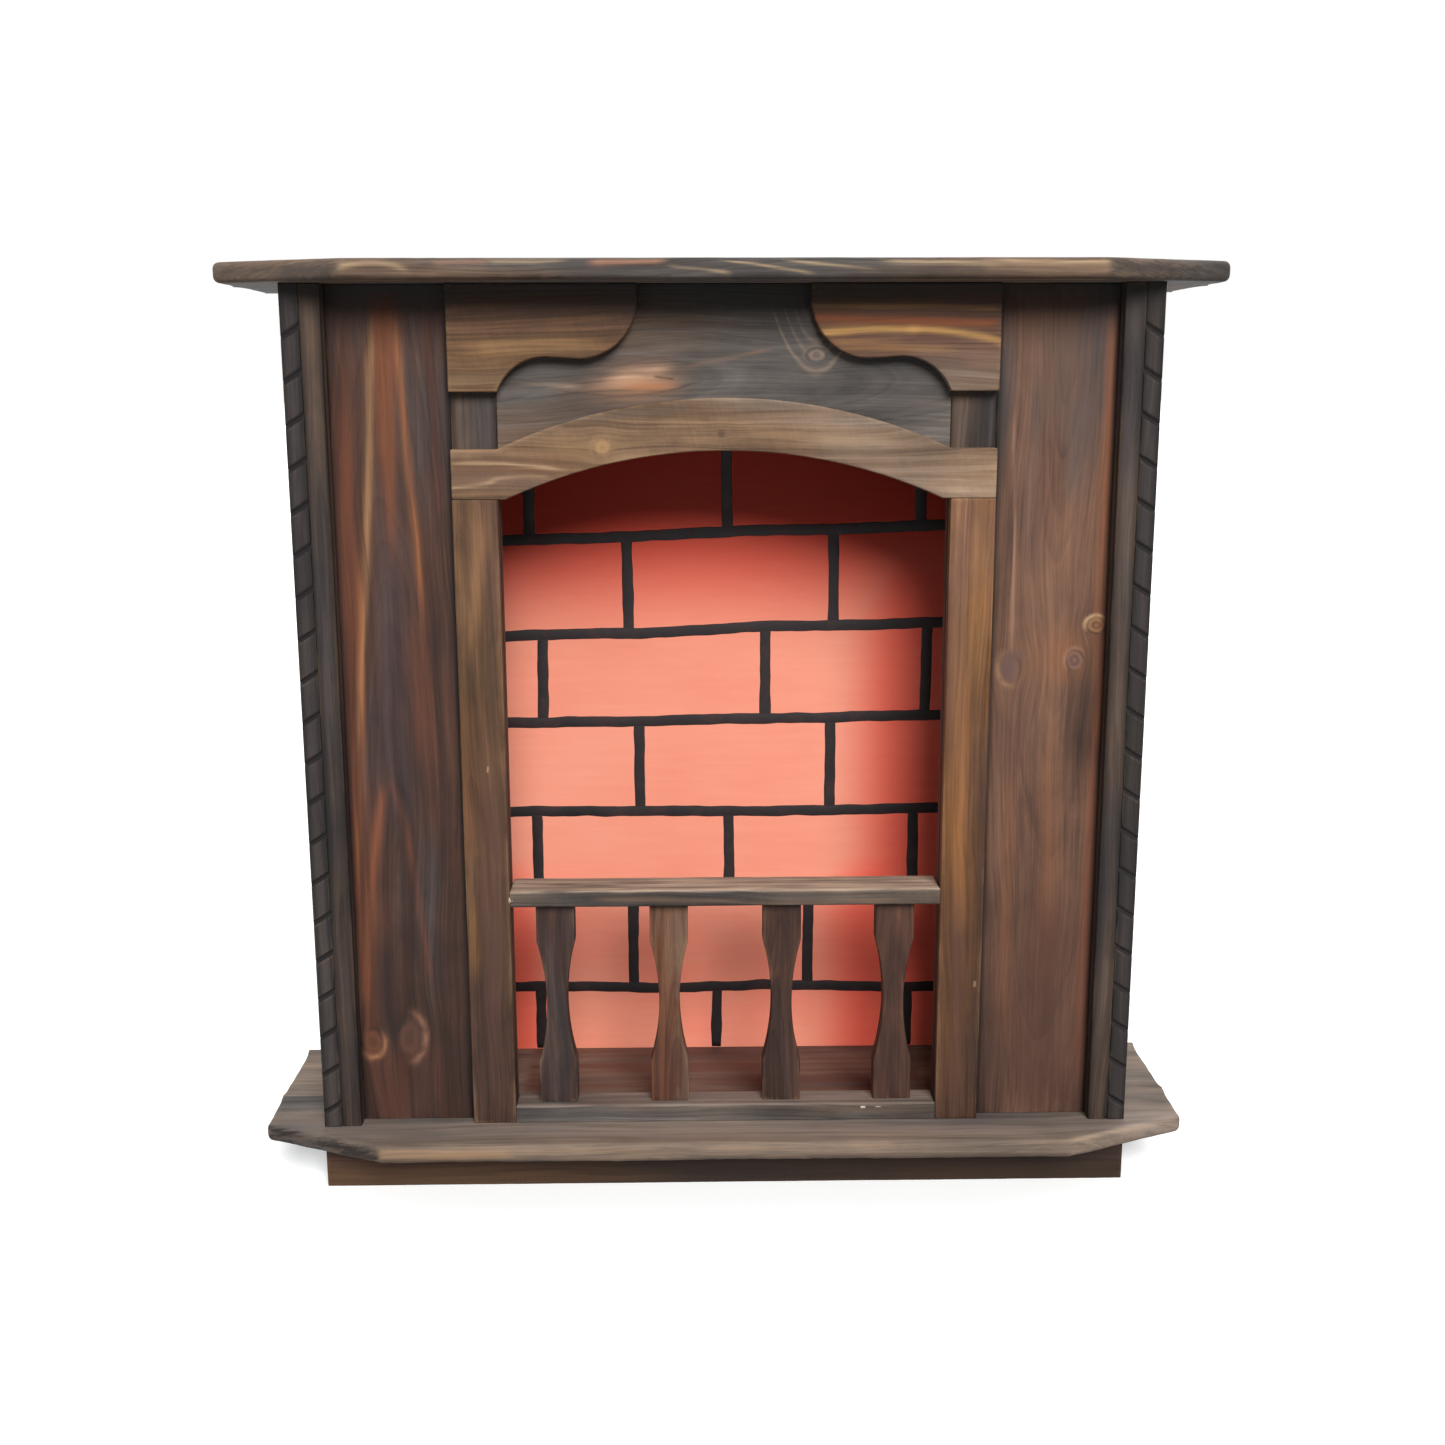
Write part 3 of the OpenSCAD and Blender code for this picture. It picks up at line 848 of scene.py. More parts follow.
def make_shelf():
    """Two grey-brown boards; the front edge shows short pale and pinkish streaks."""
    cream, pink = rgb(196, 168, 132), rgb(190, 134, 104)
    edge = [
        Vein((-0.375, 0.832), (-0.295, 0.832), (0.003, 0.003), cream, bow=0.009),
        Vein((-0.280, 0.840), (-0.220, 0.841), (0.003, 0.003), pink),
        Vein((-0.230, 0.842), (-0.145, 0.843), (0.003, 0.002), cream, 0.8),
        Vein((-0.135, 0.841), (-0.050, 0.843), (0.004, 0.004), pink, 0.8),
        Vein((-0.060, 0.838), (0.010, 0.830), (0.0015, 0.0015), cream, 0.5),
        Vein((-0.010, 0.844), (0.090, 0.830), (0.0015, 0.0015), cream, 0.6),
        Vein((0.050, 0.844), (0.150, 0.834), (0.0015, 0.0015), cream, 0.6),
        Vein((0.140, 0.843), (0.270, 0.838), (0.002, 0.003), cream),
        Vein((0.240, 0.839), (0.390, 0.838), (0.006, 0.007), rgb(164, 134, 106), fade=0.08),
        Vein((0.250, 0.842), (0.385, 0.840), (0.002, 0.002), cream, 0.7),
        Vein((0.360, 0.833), (0.560, 0.918), (0.016, 0.016), rgb(60, 56, 53), 1.1, 0.05),
        Vein((-0.560, 0.918), (-0.360, 0.833), (0.015, 0.015), rgb(76, 70, 65), 0.9, 0.05),
    ]
    look = dict(grain="XY", warm=UMBER, cool=PEWTER, cool_share=0.6, span=(-0.5, 0.5), band=0.014,
                light=0.03, rub=0.35, rub_tint=rgb(150, 124, 104))
    front = pine("shelf_front_pine", 11, pith=(0.91, -0.93, 0.05), veins=edge, **look)
    rear = pine("shelf_rear_pine", 12, pith=(1.05, -0.94, 0.03), **look)
    half_top("shelf_board_front", front, True)
    half_top("shelf_board_rear", rear, False)


def make_base():
    """Two grey-brown boards; the front edge is worn to the wood on the left and has painted shade along its
    lower part. The floor of the opening carries painted shade and the brick's red reflection.
    """
    bare = rgb(156, 124, 94)
    wear_and_shade = [
        Vein((-0.384, -0.066), (-0.220, -0.068), (0.009, 0.006), bare, 0.85, 0.10),
        Vein((-0.60, -0.018), (0.60, -0.018), (0.026, 0.026), rgb(154, 138, 130), 0.6, 0.05),
        Vein((-0.240, -0.066), (-0.050, -0.068), (0.004, 0.003), bare, 0.6),
        Vein((-0.060, -0.064), (0.250, -0.066), (0.0025, 0.002), bare, 0.4),
        Vein((0.345, -0.068), (0.500, -0.006), (0.005, 0.006), rgb(160, 140, 118), 0.5),
        Vein((-0.54, 0.002), (-0.26, -0.040), (0.030, 0.010), rgb(84, 79, 78), 0.6, 0.25),
        # Painted shade along the lower part of the front edge.
        Vein((-0.375, -0.0765), (0.375, -0.0765), (0.0035, 0.0035), rgb(80, 64, 54), 0.75, 0.02),
        Vein((-0.54, 0.004), (-0.364, -0.071), (0.016, 0.013), rgb(44, 37, 34), 1.2, 0.05),
        Vein((0.05, -0.040), (0.35, -0.044), (0.004, 0.004), rgb(152, 132, 118), 0.4),
    ]
    look = dict(grain="XY", warm=DRIFT, cool=PEWTER, cool_share=0.45, span=(-0.5, 0.5), light=-0.03,
                contrast=0.75, rub=0.3, rub_tint=rgb(152, 124, 100), blotch=0.8)
    front = pine("base_front_pine", 21, pith=(0.02, -0.02, 0.06), veins=wear_and_shade, **look)
    # Painted shade and the brick's red reflection on the floor of the opening.
    hearth_shade_and_bounce = [Vein((-0.235, 0.14), (0.235, 0.14), (0.14, 0.14), rgb(92, 48, 36), 0.75, 0.03)]
    rear = pine("base_rear_pine", 22, pith=(0.14, -0.03, -0.04), veins=hearth_shade_and_bounce, **look)
    half_top("base_board_front", front, True)
    half_top("base_board_rear", rear, False)


def make_plinth():
    """Four dark boards under the base; the front one has earthy streaks."""
    look = dict(warm=WALNUT, cool=COAL, cool_share=0.2, light=-0.24, rub=0.12)
    long_look = dict(grain="X", span=(-0.435, 0.435), **look)
    side_look = dict(grain="ZY", span=(0.0, 0.05), **look)
    earthy = [
        Vein((-0.50, 0.012), (-0.02, 0.010), (0.026, 0.012), rgb(94, 70, 48), 0.65, 0.15),
        Vein((-0.10, 0.016), (0.46, 0.012), (0.020, 0.022), rgb(50, 39, 29), 0.9, 0.1),
    ]
    box_board("plinth_front", pine("plinth_front_pine", 31, veins=earthy, **long_look), "plinth")
    box_board("plinth_rear", pine("plinth_rear_pine", 32, **long_look), "plinth")
    for side, sign in SIDES:
        box_board(f"plinth_{side}", pine(f"plinth_{side}_pine", 33 + sign, **side_look), "plinth")


# ---------------------------------------------------------------- body boards


def make_side_boards():
    """Tall grey-brown boards at both ends of the body."""
    look = dict(warm=UMBER, cool=SLATE, cool_share=0.65, span=(0.07, 0.955), rub=0.3,
                rub_tint=rgb(130, 102, 82), shade_below_shelf=True)
    left = pine("side_left_pine", 41, pith=(-0.40, 0.10, 0.02), light=-0.13, lift=(-0.14, 0.02),
                edges_of="side_board_left", **look)
    right = pine("side_right_pine", 42, pith=(0.40, 0.11, 0.02), light=-0.09, lift=(-0.17, 0.03),
                 edges_of="side_board_right", **look)
    box_board("side_board_left", left, "side_board", radius=1.4 * MM)
    box_board("side_board_right", right, "side_board", radius=1.4 * MM)


def left_pilaster_pine():
    """Tall flame at the top, a lower loop and two knots near the foot."""
    veins = [
        Vein((0.07, -0.392), (0.95, -0.381), (0.012, 0.010), rgb(116, 66, 46), 0.7),
        Vein((0.66, -0.339), (0.975, -0.338), (0.004, 0.014), rgb(132, 78, 50), 0.8, 0.2),
        Vein((0.46, -0.386), (0.94, -0.349), (0.0030, 0.0040), TAN, 0.75, 0.15, bow=0.004),
        Vein((0.30, -0.392), (0.74, -0.366), (0.004, 0.006), ORANGE, 0.6, 0.25),
        Vein((0.60, -0.306), (0.95, -0.328), (0.0045, 0.004), ORANGE, 0.75),
        Vein((0.40, -0.300), (0.70, -0.312), (0.003, 0.004), rgb(110, 70, 54), 0.5, 0.3),
        Vein((0.34, -0.345), (0.80, -0.343), (0.022, 0.010), SMOKE, 0.45, 0.3),
        Vein((0.44, -0.315), (0.66, -0.315), (0.012, 0.010), rgb(108, 62, 46), 0.4, 0.35),
        Vein((0.19, -0.390), (0.462, -0.354), (0.0060, 0.0055), rgb(138, 82, 56), 0.7, 0.12, bow=-0.005),
        Vein((0.22, -0.318), (0.462, -0.351), (0.0040, 0.0040), rgb(116, 70, 52), 0.5, 0.12, bow=0.006),
        Vein((0.14, -0.362), (0.30, -0.358), (0.018, 0.012), DARK_GRAIN_AND_SHADE, 0.65, 0.35),
        Vein((0.72, -0.290), (0.95, -0.293), (0.003, 0.003), RUST, 0.4),
        Vein((0.05, -0.350), (0.17, -0.350), (0.034, 0.030), rgb(92, 54, 42), 0.5, 0.3),
    ]
    knots = [
        Knot(0.160, -0.383, 0.0120, heart=rgb(130, 80, 56), ring=rgb(100, 62, 46), halo=rgb(186, 130, 92),
             stretch=1.3, strength=0.35, lit=(-0.8, 0.5)),
        Knot(0.166, -0.341, 0.0140, heart=rgb(120, 84, 68), ring=rgb(92, 66, 56), halo=rgb(162, 118, 94),
             stretch=1.7, strength=0.35, lit=(-0.1, 0.9)),
    ]
    return pine("pilaster_left_pine", 51, warm=WALNUT, cool=SLATE, cool_share=0.22, span=(0.07, 0.955),
                pith=(-0.345, 0.085, 0.10), light=-0.09, lift=(-0.08, 0.10), veins=veins, knots=knots,
                rub=0.15, edges_of="pilaster_left", lines=[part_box("column_left")[0].x], shade_below_shelf=True)


def right_pilaster_pine():
    """Smoky at the top, browner below, with three knots in a slanting row."""
    veins = [
        Vein((0.46, 0.392), (0.95, 0.386), (0.006, 0.007), rgb(150, 90, 56), 0.75, 0.12),
        Vein((0.07, 0.390), (0.52, 0.389), (0.008, 0.006), RUST, 0.6),
        Vein((0.56, 0.300), (0.85, 0.292), (0.0018, 0.0018), rgb(164, 128, 108), 0.6),
        Vein((0.72, 0.284), (0.87, 0.282), (0.006, 0.006), DARK_GRAIN_AND_SHADE, 0.55, 0.35),
        Vein((0.78, 0.345), (0.96, 0.345), (0.030, 0.040), rgb(78, 70, 68), 0.6, 0.35),
        Vein((0.72, 0.355), (0.86, 0.360), (0.012, 0.014), rgb(92, 86, 84), 0.5, 0.35),
        Vein((0.10, 0.305), (0.50, 0.300), (0.008, 0.006), rgb(140, 88, 58), 0.45, 0.3),
        Vein((0.20, 0.350), (0.56, 0.338), (0.014, 0.010), rgb(140, 92, 66), 0.4, 0.3),
        Vein((0.02, 0.345), (0.36, 0.345), (0.060, 0.044), rgb(72, 46, 38), 0.75, 0.3),
        Vein((0.535, 0.340), (0.625, 0.350), (0.034, 0.030), rgb(154, 100, 62), 0.5, 0.45),
        Vein((0.548, 0.289), (0.592, 0.305), (0.009, 0.009), rgb(88, 68, 68), 0.95, 0.3),
        Vein((0.45, 0.325), (0.72, 0.322), (0.026, 0.022), rgb(150, 112, 90), 0.35, 0.35),
    ]
    knots = [
        Knot(0.567, 0.297, 0.0125, heart=rgb(112, 84, 74), ring=rgb(96, 74, 70), halo=rgb(168, 130, 98),
             stretch=1.3, strength=0.3, lit=(-0.3, -0.9)),
        Knot(0.576, 0.364, 0.0085, heart=rgb(132, 98, 86), ring=PLUM, halo=rgb(158, 120, 100),
             stretch=1.2, strength=0.7, lit=(0.6, -0.5)),
        Knot(0.612, 0.384, 0.0095, heart=TAN, ring=rgb(94, 60, 46), halo=rgb(196, 160, 122), stretch=0.9,
             halo_strength=0.8, lit=(0.8, -0.4)),
    ]
    return pine("pilaster_right_pine", 52, warm=MOCHA, cool=SLATE, cool_share=0.12, span=(0.07, 0.955),
                pith=(0.345, 0.10, -0.08), light=0.05, lift=(-0.26, 0.06), veins=veins, knots=knots,
                rub=0.15, contrast=0.75, edges_of="pilaster_right", lines=[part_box("column_right")[1].x],
                shade_below_shelf=True)


def make_face_boards():
    """Pilasters, the narrow stiles beside them and the frieze."""
    box_board("pilaster_left", left_pilaster_pine(), "pilaster")
    box_board("pilaster_right", right_pilaster_pine(), "pilaster")
    look = dict(warm=UMBER, cool=SLATE, cool_share=0.75, span=(0.07, 0.955), rub=0.2, contrast=1.1,
                band=0.008, shade_below_shelf=True)
    for side, sign in SIDES:
        node = f"stile_{side}"
        material = pine(f"{node}_pine", 53.5 + sign / 2, pith=(sign * 0.25, 0.03, 0.0), edges_of=node,
                        light=-0.03, **look)
        box_board(node, material, "stile")
    box_board("frieze_board", frieze_pine(), "frieze")


# Place across of one knot of the frieze, and (half width, depth, strength) of the rings round it
LOOPS_X = 0.092
LOOPS = ((0.052, 0.086, 0.75), (0.040, 0.070, 0.5), (0.030, 0.056, 0.45), (0.020, 0.044, 0.4))


def frieze_pine():
    """Blue-grey wood with a tan flame and curved rings beside the right corbel."""
    veins = [
        Vein((-0.150, 0.855), (-0.025, 0.866), (0.014, 0.019), rgb(184, 138, 106), 0.9, 0.5),
        Vein((-0.125, 0.862), (-0.045, 0.874), (0.006, 0.005), rgb(206, 166, 136), 0.8, 0.35),
        Vein((-0.110, 0.852), (-0.040, 0.856), (0.005, 0.004), rgb(168, 110, 76), 0.7, 0.35),
        Vein((-0.072, 0.866), (-0.048, 0.862), (0.0012, 0.0012), rgb(84, 54, 44), 0.9),
        Vein((-0.168, 0.853), (-0.020, 0.861), (0.0010, 0.0014), rgb(78, 58, 50), 0.75, 0.1, bow=-0.011),
        Vein((-0.168, 0.856), (-0.030, 0.886), (0.0010, 0.0014), rgb(86, 66, 56), 0.6, 0.1, bow=0.006),
        Vein((-0.215, 0.859), (-0.135, 0.856), (0.0015, 0.003), rgb(166, 140, 118), 0.6, 0.3),
        Vein((-0.045, 0.872), (0.055, 0.894), (0.004, 0.0015), rgb(124, 98, 84), 0.7),
        Vein((0.060, 0.832), (0.200, 0.800), (0.0015, 0.002), rgb(140, 120, 100), 0.5),
        Vein((-0.250, 0.850), (-0.150, 0.850), (0.030, 0.026), rgb(100, 98, 96), 0.45, 0.3),
    ]
    for half, drop, strength in LOOPS:
        veins.append(Vein((LOOPS_X - half, SHELF_Z), (LOOPS_X + half, SHELF_Z), (0.0030, 0.0030),
                          rgb(138, 120, 104), strength, 0.15, bow=-drop))
    knots = [Knot(LOOPS_X, 0.886, 0.007, heart=rgb(150, 126, 106), ring=SMOKE, halo=rgb(128, 112, 100),
                  stretch=1.5, halo_strength=0.4)]
    return pine("frieze_pine", 55, grain="X", warm=UMBER, cool=PEWTER, cool_share=0.85, band=0.016,
                pith=(0.86, 0.10, 0.12), span=(-0.228, 0.228), light=0.02, veins=veins, knots=knots,
                rub=0.1, shade_below_shelf=True)


# ---------------------------------------------------------------- columns, arch and corbels


def make_columns():
    """Golden boards, darker towards the floor."""
    left_veins = [
        Vein((0.56, -0.265), (0.760, -0.240), (0.005, 0.012), rgb(168, 124, 86), 0.5, 0.3),
        Vein((0.22, -0.267), (0.34, -0.266), (0.006, 0.005), rgb(150, 108, 60), 0.55, 0.35),
        Vein((0.462, -0.2475), (0.470, -0.2470), (0.0012, 0.0012), PALE, 0.8),
        Vein((0.50, -0.236), (0.70, -0.238), (0.005, 0.004), DARK_GRAIN_AND_SHADE, 0.4, 0.3),
        Vein((0.02, -0.256), (0.56, -0.248), (0.026, 0.012), rgb(80, 56, 52), 0.6, 0.3),
        Vein((0.34, -0.268), (0.58, -0.262), (0.012, 0.010), rgb(142, 94, 62), 0.4, 0.35),
    ]
    right_veins = [
        Vein((0.05, 0.266), (0.50, 0.272), (0.014, 0.003), DARK_GRAIN_AND_SHADE, 0.5, 0.25),
        Vein((-0.05, 0.246), (0.42, 0.244), (0.030, 0.014), rgb(82, 58, 50), 0.65, 0.25),
        Vein((0.222, 0.2665), (0.230, 0.2665), (0.0012, 0.0012), PALE, 0.8),
        Vein((0.52, 0.262), (0.75, 0.258), (0.005, 0.006), rgb(176, 134, 88), 0.45, 0.3),
        Vein((0.26, 0.248), (0.66, 0.244), (0.014, 0.012), rgb(164, 110, 66), 0.5, 0.3),
    ]
    look = dict(cool=MOCHA, span=(0.07, 0.744), band=0.013, rub=0.35, rub_tint=rgb(160, 128, 98))
    left = pine("column_left_pine", 61, warm=HONEY, cool_share=0.45, pith=(-0.262, 0.09, 0.05), light=-0.14,
                lift=(-0.30, 0.14), veins=left_veins, **look)
    right = pine("column_right_pine", 62, warm=AMBER, cool_share=0.12, pith=(0.262, 0.09, -0.05), light=-0.01,
                 lift=(-0.44, 0.09), veins=right_veins, **look)
    box_board("column_left", left, "column", radius=1.8 * MM)
    box_board("column_right", right, "column", radius=1.8 * MM)


ARCH_END = 50 * MM
ARCH_RISE = 48 * MM
ARCH_TOP_RISE = 50 * MM
ARCH_LANDING = 8 * MM


def rise_radius(half_chord, height):
    """Radius of the arc with this half chord and height."""
    return (half_chord ** 2 + height ** 2) / (2 * height)


def crown_arc(half, base, rise, leftwards):
    """Points strictly between the two ends of a shallow arc, which starts and ends at the base level."""
    radius = rise_radius(half, rise)
    reach = math.degrees(math.asin(half / radius))
    start, end = (90 - reach, 90 + reach) if leftwards else (90 + reach, 90 - reach)
    return arc_points((0.0, base + rise - radius), radius, start, end, 56, ends=False)


def arch_outline():
    """Flat ends, a shallow arc below between short landings, and one above."""
    low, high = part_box("arch_board")
    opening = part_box("column_right")[0].x
    half = opening - ARCH_LANDING
    shoulder = low.z + ARCH_END
    return [
        (low.x, low.z), (-half, low.z), *crown_arc(half, low.z, ARCH_RISE, False), (half, low.z),
        (high.x, low.z), (high.x, shoulder), (opening, shoulder),
        *crown_arc(opening, shoulder, ARCH_TOP_RISE, True), (-opening, shoulder), (low.x, shoulder),
    ]


def arch_pine():
    """Light brown, with pale wavy streaks at its left end and a brushed look at its right."""
    streak = rgb(198, 166, 132)
    veins = [
        Vein((-0.34, 0.770), (-0.10, 0.775), (0.024, 0.016), rgb(126, 86, 60), 0.6, 0.35),
        Vein((-0.285, 0.779), (-0.150, 0.772), (0.0018, 0.0022), streak, 0.7, 0.2, bow=0.004),
        Vein((-0.285, 0.757), (-0.225, 0.763), (0.0022, 0.0022), streak, 0.7, 0.2, bow=-0.002),
        Vein((-0.240, 0.763), (-0.170, 0.766), (0.0020, 0.0018), streak, 0.7, 0.2, bow=0.003),
        Vein((-0.285, 0.769), (-0.160, 0.769), (0.0040, 0.0030), rgb(104, 72, 56), 0.6, 0.25),
        Vein((-0.200, 0.795), (-0.080, 0.800), (0.010, 0.008), rgb(168, 134, 92), 0.4, 0.35),
        Vein((0.070, 0.804), (0.190, 0.798), (0.010, 0.008), rgb(188, 160, 128), 0.4, 0.35),
        Vein((0.060, 0.785), (0.330, 0.765), (0.022, 0.026), rgb(150, 130, 114), 0.55, 0.35),
        Vein((-0.230, 0.806), (0.0, 0.836), (0.005, 0.004), rgb(92, 82, 74), 0.5, bow=0.006),
    ]
    knots = [
        Knot(-0.122, 0.796, 0.0095, heart=rgb(190, 152, 106), ring=rgb(164, 128, 90),
             halo=rgb(176, 142, 102), stretch=1.1, strength=0.5, halo_strength=0.4),
        Knot(-0.003, 0.809, 0.0035, heart=rgb(84, 58, 48), halo=rgb(120, 92, 76), stretch=1.0),
    ]
    return pine("arch_pine", 63, grain="X", warm=FAWN, cool=DRIFT, cool_share=0.25, pith=(0.74, 0.09, 0.05),
                span=(-0.274, 0.274), light=-0.01, lift=(-0.18, 0.13), veins=veins, knots=knots, rub=0.3,
                band=0.016, rub_tint=rgb(176, 146, 116), chatter=0.16, blotch=1.3)


def make_arch():
    """Curved board between the columns and the corbels."""
    low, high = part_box("arch_board")
    rim = rim_of(arch_outline(), 1.5 * MM)
    data = board_mesh("arch_board", rim, low.y, high.y, 1.8 * MM, to_front, 7)
    add_piece("arch_board_wood", data, arch_pine(), ["arch_board"])


CORBEL_HOLLOW = (97 * MM, -18 * MM, 52 * MM)
CORBEL_BULGE_R = 58 * MM
CORBEL_BULGE_Z = 90 * MM


def corbel_outline(node, side):
    """Foot, hollow and bulge from the outer lower corner; the right one is its mirror image."""
    low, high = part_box(node)
    width, height = high.x - low.x, high.z - low.z
    hollow_x, hollow_z, hollow_r = CORBEL_HOLLOW
    start = 180 - math.degrees(math.asin(-hollow_z / hollow_r))
    bulge = (width - CORBEL_BULGE_R, CORBEL_BULGE_Z)
    foot = hollow_x + hollow_r * math.cos(math.radians(start))
    outline = [
        (0.0, 0.0), (foot, 0.0),
        *arc_points((hollow_x, hollow_z), hollow_r, start, 90, 22)[1:],
        *arc_points(bulge, CORBEL_BULGE_R, -90, 0, 30),
        (width, height), (0.0, height),
    ]
    if side < 0:
        return [(low.x + p[0], low.z + p[1], *p[2:]) for p in outline]
    return [(high.x - p[0], low.z + p[1], *p[2:]) for p in reversed(outline)]


def make_corbels():
    """The left one is plain brown; the right one carries a bright wavy streak."""
    left_veins = [
        Vein((-0.262, 0.893), (-0.110, 0.897), (0.006, 0.007), rgb(168, 130, 88), 0.55, 0.25),
        Vein((-0.25, 0.925), (-0.10, 0.935), (0.008, 0.006), PLUM, 0.4),
        Vein((-0.29, 0.862), (-0.20, 0.866), (0.014, 0.012), rgb(130, 108, 86), 0.6, 0.3),
    ]
    gold = rgb(206, 158, 94)
    right_veins = [
        Vein((0.075, 0.904), (0.200, 0.909), (0.0045, 0.0035), gold, 0.75, 0.12, bow=0.003),
        Vein((0.175, 0.911), (0.285, 0.894), (0.0035, 0.0035), gold, 0.75, 0.12, bow=0.004),
        Vein((0.075, 0.921), (0.280, 0.915), (0.005, 0.004), rgb(150, 84, 52), 0.8, 0.1),
        Vein((0.075, 0.932), (0.280, 0.930), (0.0022, 0.0022), rgb(190, 142, 92), 0.75, 0.1),
        Vein((0.09, 0.897), (0.24, 0.889), (0.006, 0.005), rgb(168, 122, 72), 0.45),
        Vein((0.17, 0.868), (0.30, 0.862), (0.018, 0.016), rgb(154, 134, 120), 0.85, 0.25),
    ]
    look = dict(grain="X", warm=HONEY, cool=MOCHA, band=0.015, rub=0.3, rub_tint=rgb(160, 130, 100),
                shade_below_shelf=True)
    left = pine("corbel_left_pine", 64, cool_share=0.55, pith=(0.80, 0.12, 0.03), span=(-0.274, -0.086),
                light=-0.08, veins=left_veins, chatter=0.14, **look)
    right = pine("corbel_right_pine", 65, cool_share=0.4, pith=(0.80, 0.10, -0.05), span=(0.086, 0.274),
                 light=-0.13, veins=right_veins, **look)
    for (side, sign), material in zip(SIDES, (left, right)):
        node = f"corbel_{side}"
        low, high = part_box(node)
        rim = rim_of(corbel_outline(node, sign), 1.5 * MM)
        data = board_mesh(node, rim, low.y, high.y, 1.8 * MM, to_front, 8 + sign)
        add_piece(f"{node}_wood", data, material, [node])


# ---------------------------------------------------------------- balustrade

WAIST = 22 * MM
SCALLOP_MID = 115 * MM
SCALLOP_CHORD = 137 * MM


def baluster_outline(node):
    """Flat post with a long hollow scalloped out of each edge."""
    low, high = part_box(node)
    middle, half = (low.x + high.x) / 2, (high.x - low.x) / 2
    radius = rise_radius(SCALLOP_CHORD / 2, half - WAIST / 2)
    reach = math.degrees(math.asin(SCALLOP_CHORD / 2 / radius))
    level = low.z + SCALLOP_MID
    bottom, top = level - SCALLOP_CHORD / 2, level + SCALLOP_CHORD / 2
    away = WAIST / 2 + radius
    right = arc_points((middle + away, level), radius, 180 + reach, 180 - reach, 28, ends=False)
    left = arc_points((middle - away, level), radius, reach, -reach, 28, ends=False)
    return [
        (low.x, low.z), (high.x, low.z), (high.x, bottom), *right, (high.x, top),
        (high.x, high.z), (low.x, high.z), (low.x, top), *left, (low.x, bottom),
    ]


def make_balusters():
    """Four posts; the second is the warmest."""
    looks = (
        dict(warm=WALNUT, cool=SLATE, cool_share=0.30, light=-0.15),
        dict(warm=RUSSET, cool=UMBER, cool_share=0.4, light=-0.06),
        dict(warm=WALNUT, cool=SLATE, cool_share=0.20, light=-0.15),
        dict(warm=WALNUT, cool=SLATE, cool_share=0.10, light=0.02),
    )
    for i, look in enumerate(looks, 1):
        node = f"baluster_{i}"
        low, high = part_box(node)
        middle = (low.x + high.x) / 2
        material = pine(f"{node}_pine", 70 + i, pith=(middle + 0.006 * (-1) ** i, 0.085, 0.06), band=0.007,
                        span=(low.z, high.z), rub=0.5, rub_tint=rgb(150, 116, 88), **look)
        rim = rim_of(baluster_outline(node), 1.0 * MM)
        data = board_mesh(node, rim, low.y, high.y, 1.2 * MM, to_front, 20 + i)
        add_piece(f"{node}_wood", data, material, [node])


def pale_arris(node, tint, strength):
    """Pale line along the upper front edge of the rail or the sill."""
    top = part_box(node)[1].z
    return Vein((-0.30, top), (0.30, top), (0.0016, 0.0016), tint, strength, 0.01)


def make_rail():
    """Grey rail, worn pale along its upper edge."""
    veins = [
        Vein((-0.15, 0.325), (0.03, 0.322), (0.003, 0.003), rgb(150, 118, 92), 0.3),
        Vein((0.02, 0.318), (0.20, 0.323), (0.003, 0.002), rgb(146, 112, 88), 0.3),
        pale_arris("balustrade_rail", rgb(200, 176, 154), 0.85),
    ]
    material = pine("rail_pine", 81, grain="X", warm=DRIFT, cool=PEWTER, cool_share=0.6, contrast=0.7,
                    pith=(0.30, 0.09, 0.02), span=(-0.228, 0.228), light=-0.35, veins=veins, rub=0.25,
                    rub_tint=rgb(150, 128, 110), chatter=0.12)
    box_board("balustrade_rail", material, "rail", radius=2.6 * MM, corner=1.5 * MM, flat=True)


def make_sill():
    """Brown-grey sill with two pale chips in its front."""
    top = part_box("balustrade_sill")[1].z
    first, second = top - 4.2 * MM, top - 3.8 * MM
    veins = [
        pale_arris("balustrade_sill", rgb(138, 122, 112), 0.8),
        Vein((0.146, first), (0.153, first), (0.0013, 0.0010), rgb(236, 232, 226), 1.0, 0.3),
        Vein((0.162, second), (0.170, second + 0.2 * MM), (0.0008, 0.0008), rgb(206, 196, 186), 0.8, 0.3),
    ]
    material = pine("sill_pine", 82, grain="X", warm=UMBER, cool=PEWTER, cool_share=0.65,
                    pith=(0.06, 0.09, 0.02), span=(-0.228, 0.228), light=0.06, veins=veins, rub=0.15,
                    rub_tint=rgb(130, 110, 96))
    box_board("balustrade_sill", material, "sill", radius=2.0 * MM, corner=1.0 * MM, flat=True)


def make_filler():
    """Lump of filler squeezed out of the joint at the left end of the rail."""
    low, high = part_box("balustrade_rail")
    builder = bmesh.new()
    wear_layer = builder.verts.layers.float.new("wear")
    bmesh.ops.create_icosphere(builder, subdivisions=4, radius=1.0)
    middle = Vector((low.x + 1.5 * MM, low.y + 1.6 * MM, (low.z + high.z) / 2 - 1 * MM))
    size = Vector((3.0, 1.9, 5.0)) * MM
    for vertex in builder.verts:
        swell = 0.85 + 0.35 * noise.noise(vertex.co * 1.7) + 0.1 * noise.noise(vertex.co * 6.0)
        vertex.co = middle + Vector(a * b for a, b in zip(vertex.co * swell, size))
        vertex[wear_layer] = 0.0
    data = finished_mesh("filler_lump", builder)
    add_piece("filler_lump", data, wood_filler(), [])


# ---------------------------------------------------------------- notched strips

NOTCH_PITCH = 43 * MM
NOTCH_HALF = 4.6 * MM
NOTCH_DEPTH = 3.4 * MM
NOTCH_SLOPE = math.tan(math.radians(32))
STRIP_EDGE = 1.3 * MM
